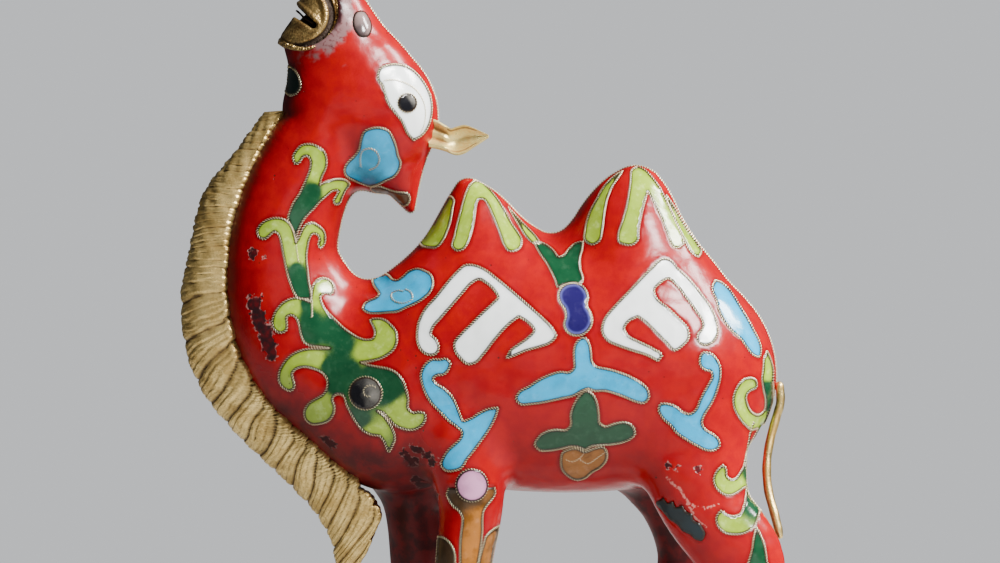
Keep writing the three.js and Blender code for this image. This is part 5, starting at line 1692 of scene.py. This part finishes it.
def red_enamel():
    material, tree, shader = new_material("red enamel")
    skin = use_group(tree, enamel_skin, {"Waviness": 0.75, "Pit Size": 0.5})
    color = mix(tree, ramp(tree, skin["Cloud"], 0.3, 0.7), RED, ORANGE_RED)
    color = blend(tree, ramp(tree, skin["Speck"], 0.58, 0.72), 0.35, color, DEEP_RED)
    away = attribute(tree, "away")
    # Painted shade: the red darkens towards every wire, and a line of grime and painted shade follows the
    # crease beside it.
    color = mix(tree, ramp(tree, away, 0.2, 0.9, 0.6, 0.0), color, DEEP_RED)
    color = mix(tree, grime_and_shade_beside_wires(tree, away, skin["Speck"]), color, GRIME_AND_SHADE)
    place = place_in_mm(tree)
    ragged = sway(tree, attribute(tree, "chip"), noise(tree, place, 0.9, 3.0, 0.55), 2.6)
    chip = ramp(tree, ragged, -0.1, 0.1, 1.0, 0.0)
    shade = mix(tree, ramp(tree, noise(tree, place, 1.2, 3.0), 0.4, 0.7), SCORCHED, DEEP_RED)
    color = mix(tree, chip, color, shade)
    broken = calc(tree, "MULTIPLY", ramp(tree, ragged, -0.25, 0.05), ramp(tree, ragged, 0.05, 0.2, 1.0, 0.0))
    flaky = ramp(tree, noise(tree, place, 1.6, 3.0, 0.6), 0.45, 0.6)
    color = blend(tree, broken, flaky, color, BROKEN_EDGE)
    smoke = sway(tree, attribute(tree, "smoke"), noise(tree, place, 0.6, 3.0, 0.5), 1.2)
    ash = mix(tree, ramp(tree, noise(tree, place, 2.0, 3.0, 0.6), 0.5, 0.75), ASH, SCORCHED)
    color = mix(tree, ramp(tree, smoke, 0.25, 0.65, 0.0, 0.85), color, ash)
    color = mix(tree, ramp(tree, attribute(tree, "smoke"), 0.85, 1.0), color, SCORCHED)
    thin = sway(tree, attribute(tree, "crack"), noise(tree, place, 2.5, 2.0), 0.7)
    color = mix(tree, ramp(tree, thin, 0.14, 0.26, 0.8, 0.0), color, PALE_CRACK)
    # Painted shade: the ground's mask darkens the red, patchy by a noise, and makes it rougher.
    dull_gilt_and_painted_shade = attribute(tree, "dull_gilt_and_painted_shade")
    patchy_shade = ramp(tree, noise(tree, place, 0.45, 4.0, 0.6), 0.38, 0.6, 0.95, 0.74)
    color = blend(tree, dull_gilt_and_painted_shade, patchy_shade, color, SHADE_RED)
    color = mix(tree, skin["Pits"], color, PIT)
    rough = calc(tree, "MULTIPLY_ADD", chip, 0.3, 0.25)
    rough = calc(tree, "MULTIPLY_ADD", dull_gilt_and_painted_shade, 0.25, rough)
    edge = {"Height": chip, "Strength": 0.6, "Distance": -CHIP_DEPTH * MM, "Normal": skin["Normal"]}
    normal = put(tree, "Bump", edge).outputs[0]
    connect(tree, shader, {"Base Color": color, "Normal": normal, "Roughness": rough})
    shader.inputs["Specular IOR Level"].default_value = 0.25
    return material


# %% Gilt
def gilt(name, bright, dull_gilt_and_painted_shade, brown, metal, grain=None):
    material, tree, shader = new_material(name)
    inputs = {"Bright": (*bright, 1), "Dull": (*dull_gilt_and_painted_shade, 1), "Brown": (*brown, 1), "Metal": metal}
    inputs["Dirt and Shade"] = attribute(tree, "dirt_and_shade")
    inputs["Grain"] = attribute(tree, "grain") if grain is None else grain
    worn = use_group(tree, worn_gilt, inputs)
    connect(tree, shader, {"Base Color": worn["Color"], "Roughness": worn["Roughness"]})
    connect(tree, shader, {"Metallic": worn["Metallic"], "Normal": worn["Normal"]})
    return material


CAST = ((0.9, 0.66, 0.25), (0.5, 0.33, 0.1), (0.1, 0.055, 0.014), 0.75)
MUZZLE = ((0.55, 0.37, 0.13), (0.2, 0.11, 0.035), (0.025, 0.011, 0.004), 0.75)
LEAF = ((1.0, 0.84, 0.34), (0.95, 0.68, 0.22), (0.4, 0.2, 0.05), 0.65)
ROD = ((1.0, 0.76, 0.3), (0.75, 0.46, 0.12), (0.3, 0.14, 0.03), 1.0)
WIRE = ((1.0, 0.9, 0.6), (0.9, 0.72, 0.4), (0.02, 0.011, 0.007), 0.6)
cast_gilt = gilt("cast gilt", *CAST)
muzzle_gilt = gilt("dark cast gilt", *MUZZLE)
leaf_gilt = gilt("bright gilt", *LEAF)
rod_gilt = gilt("rod gilt", *ROD)
wire_gilt = gilt("wire gilt", *WIRE, grain=0.0)

FINISH = {"red_ground": red_enamel()}
FINISH |= dict.fromkeys(("wires_left", "wires_right", "seam_wire"), wire_gilt)
FINISH |= {"muzzle_cast": muzzle_gilt, "mane_cast": cast_gilt, "tail_rod": rod_gilt}
FINISH |= {"ear_leaf_left": leaf_gilt, "ear_leaf_right": leaf_gilt}
FINISH |= {name + "_enamel": material for name, material in ENAMELS.items()}
for name, piece in PIECES.items():
    piece.data.materials.append(FINISH[name])
print("finishes:", sorted({material.name for material in FINISH.values()}))

# %% [markdown]
# ## Stage, light and camera
#
# A plain pale floor, a soft light in front and to the upper right, a window at the right that draws
# the highlights on the humps, and a weak fill from the left. The camera looks square at the left
# flank from far away. A weak low light in front reaches under the belly.

# %% Floor
FLOOR_RADIUS, FLOOR_CORNERS = 0.2, 96
FLOOR_DARKER, FLOOR_LIGHTER = (0.4, 0.4, 0.39), (0.44, 0.44, 0.43)


def make_floor():
    turns = np.arange(FLOOR_CORNERS) * 2 * math.pi / FLOOR_CORNERS
    rim = np.stack([FLOOR_RADIUS * np.cos(turns), FLOOR_RADIUS * np.sin(turns), 0 * turns], 1)
    mesh = bpy.data.meshes.new("floor")
    mesh.from_pydata(rim.tolist(), [], [list(range(FLOOR_CORNERS))])
    floor = bpy.data.objects.new("floor", mesh)
    bpy.context.scene.collection.objects.link(floor)
    material, tree, shader = new_material("pale floor")
    place = put(tree, "TexCoord").outputs["Object"]
    color = mix(tree, noise(tree, place, 6.0, 3.0), FLOOR_DARKER, FLOOR_LIGHTER)
    connect(tree, shader, {"Base Color": color})
    shader.inputs["Roughness"].default_value = 0.8
    floor.data.materials.append(material)
    return floor


make_floor()


# %% Lights
AIM = Vector((0, 0, 0.06))
LIGHTS = [  # name, place, size, watts and color
    ("key", (0.47, -0.42, 0.56), (0.2, 0.2), 19.0, (1.0, 0.99, 0.97)),
    ("window", (0.68, 0.06, 0.66), (0.2, 0.24), 15.0, (1.0, 0.98, 0.95)),
    ("fill", (-0.9, -0.7, 0.5), (0.9, 0.9), 0.3, (0.93, 0.96, 1.0)),
    ("low front", (0.1, -1.1, 0.1), (1.2, 0.18), 1.0, (1.0, 0.98, 0.95)),
]
SKY_COLOR, SKY_LIGHT, SKY_SEEN = (0.9, 0.92, 0.95, 1.0), 0.07, 0.75


def soft_light(name, place, size, power, color):
    light = bpy.data.lights.new(name, "AREA")
    light.shape = "RECTANGLE"
    light.size, light.size_y = size
    light.energy = power
    light.color = color
    lamp = bpy.data.objects.new(name, light)
    lamp.location = place
    lamp.rotation_euler = (AIM - Vector(place)).to_track_quat("-Z", "Y").to_euler()
    bpy.context.scene.collection.objects.link(lamp)


for light in LIGHTS:
    soft_light(*light)

world = bpy.data.worlds.new("studio")
world.use_nodes = True
bpy.context.scene.world = world
sky = world.node_tree
ray = put(sky, "LightPath").outputs["Is Camera Ray"]
strength = ramp(sky, ray, 0.0, 1.0, SKY_LIGHT, SKY_SEEN)
sky.links.new(strength, sky.nodes["Background"].inputs["Strength"])
sky.nodes["Background"].inputs["Color"].default_value = SKY_COLOR

# %% Camera
WIDE, SENSOR = 150.0, 36.0  # the picture is this wide at the camel, in millimetres
camera_data = bpy.data.cameras.new("camera")
camera_data.sensor_width = SENSOR
camera_data.lens = SENSOR * EYE_DISTANCE / WIDE
camera_data.clip_start = 0.05
camera = bpy.data.objects.new("camera", camera_data)
camera.location = ((EYE_X + MIDDLE_X) * MM, -EYE_DISTANCE * MM, EYE_Z * MM)
camera.rotation_euler = (math.pi / 2, 0, 0)
bpy.context.scene.collection.objects.link(camera)
bpy.context.scene.camera = camera
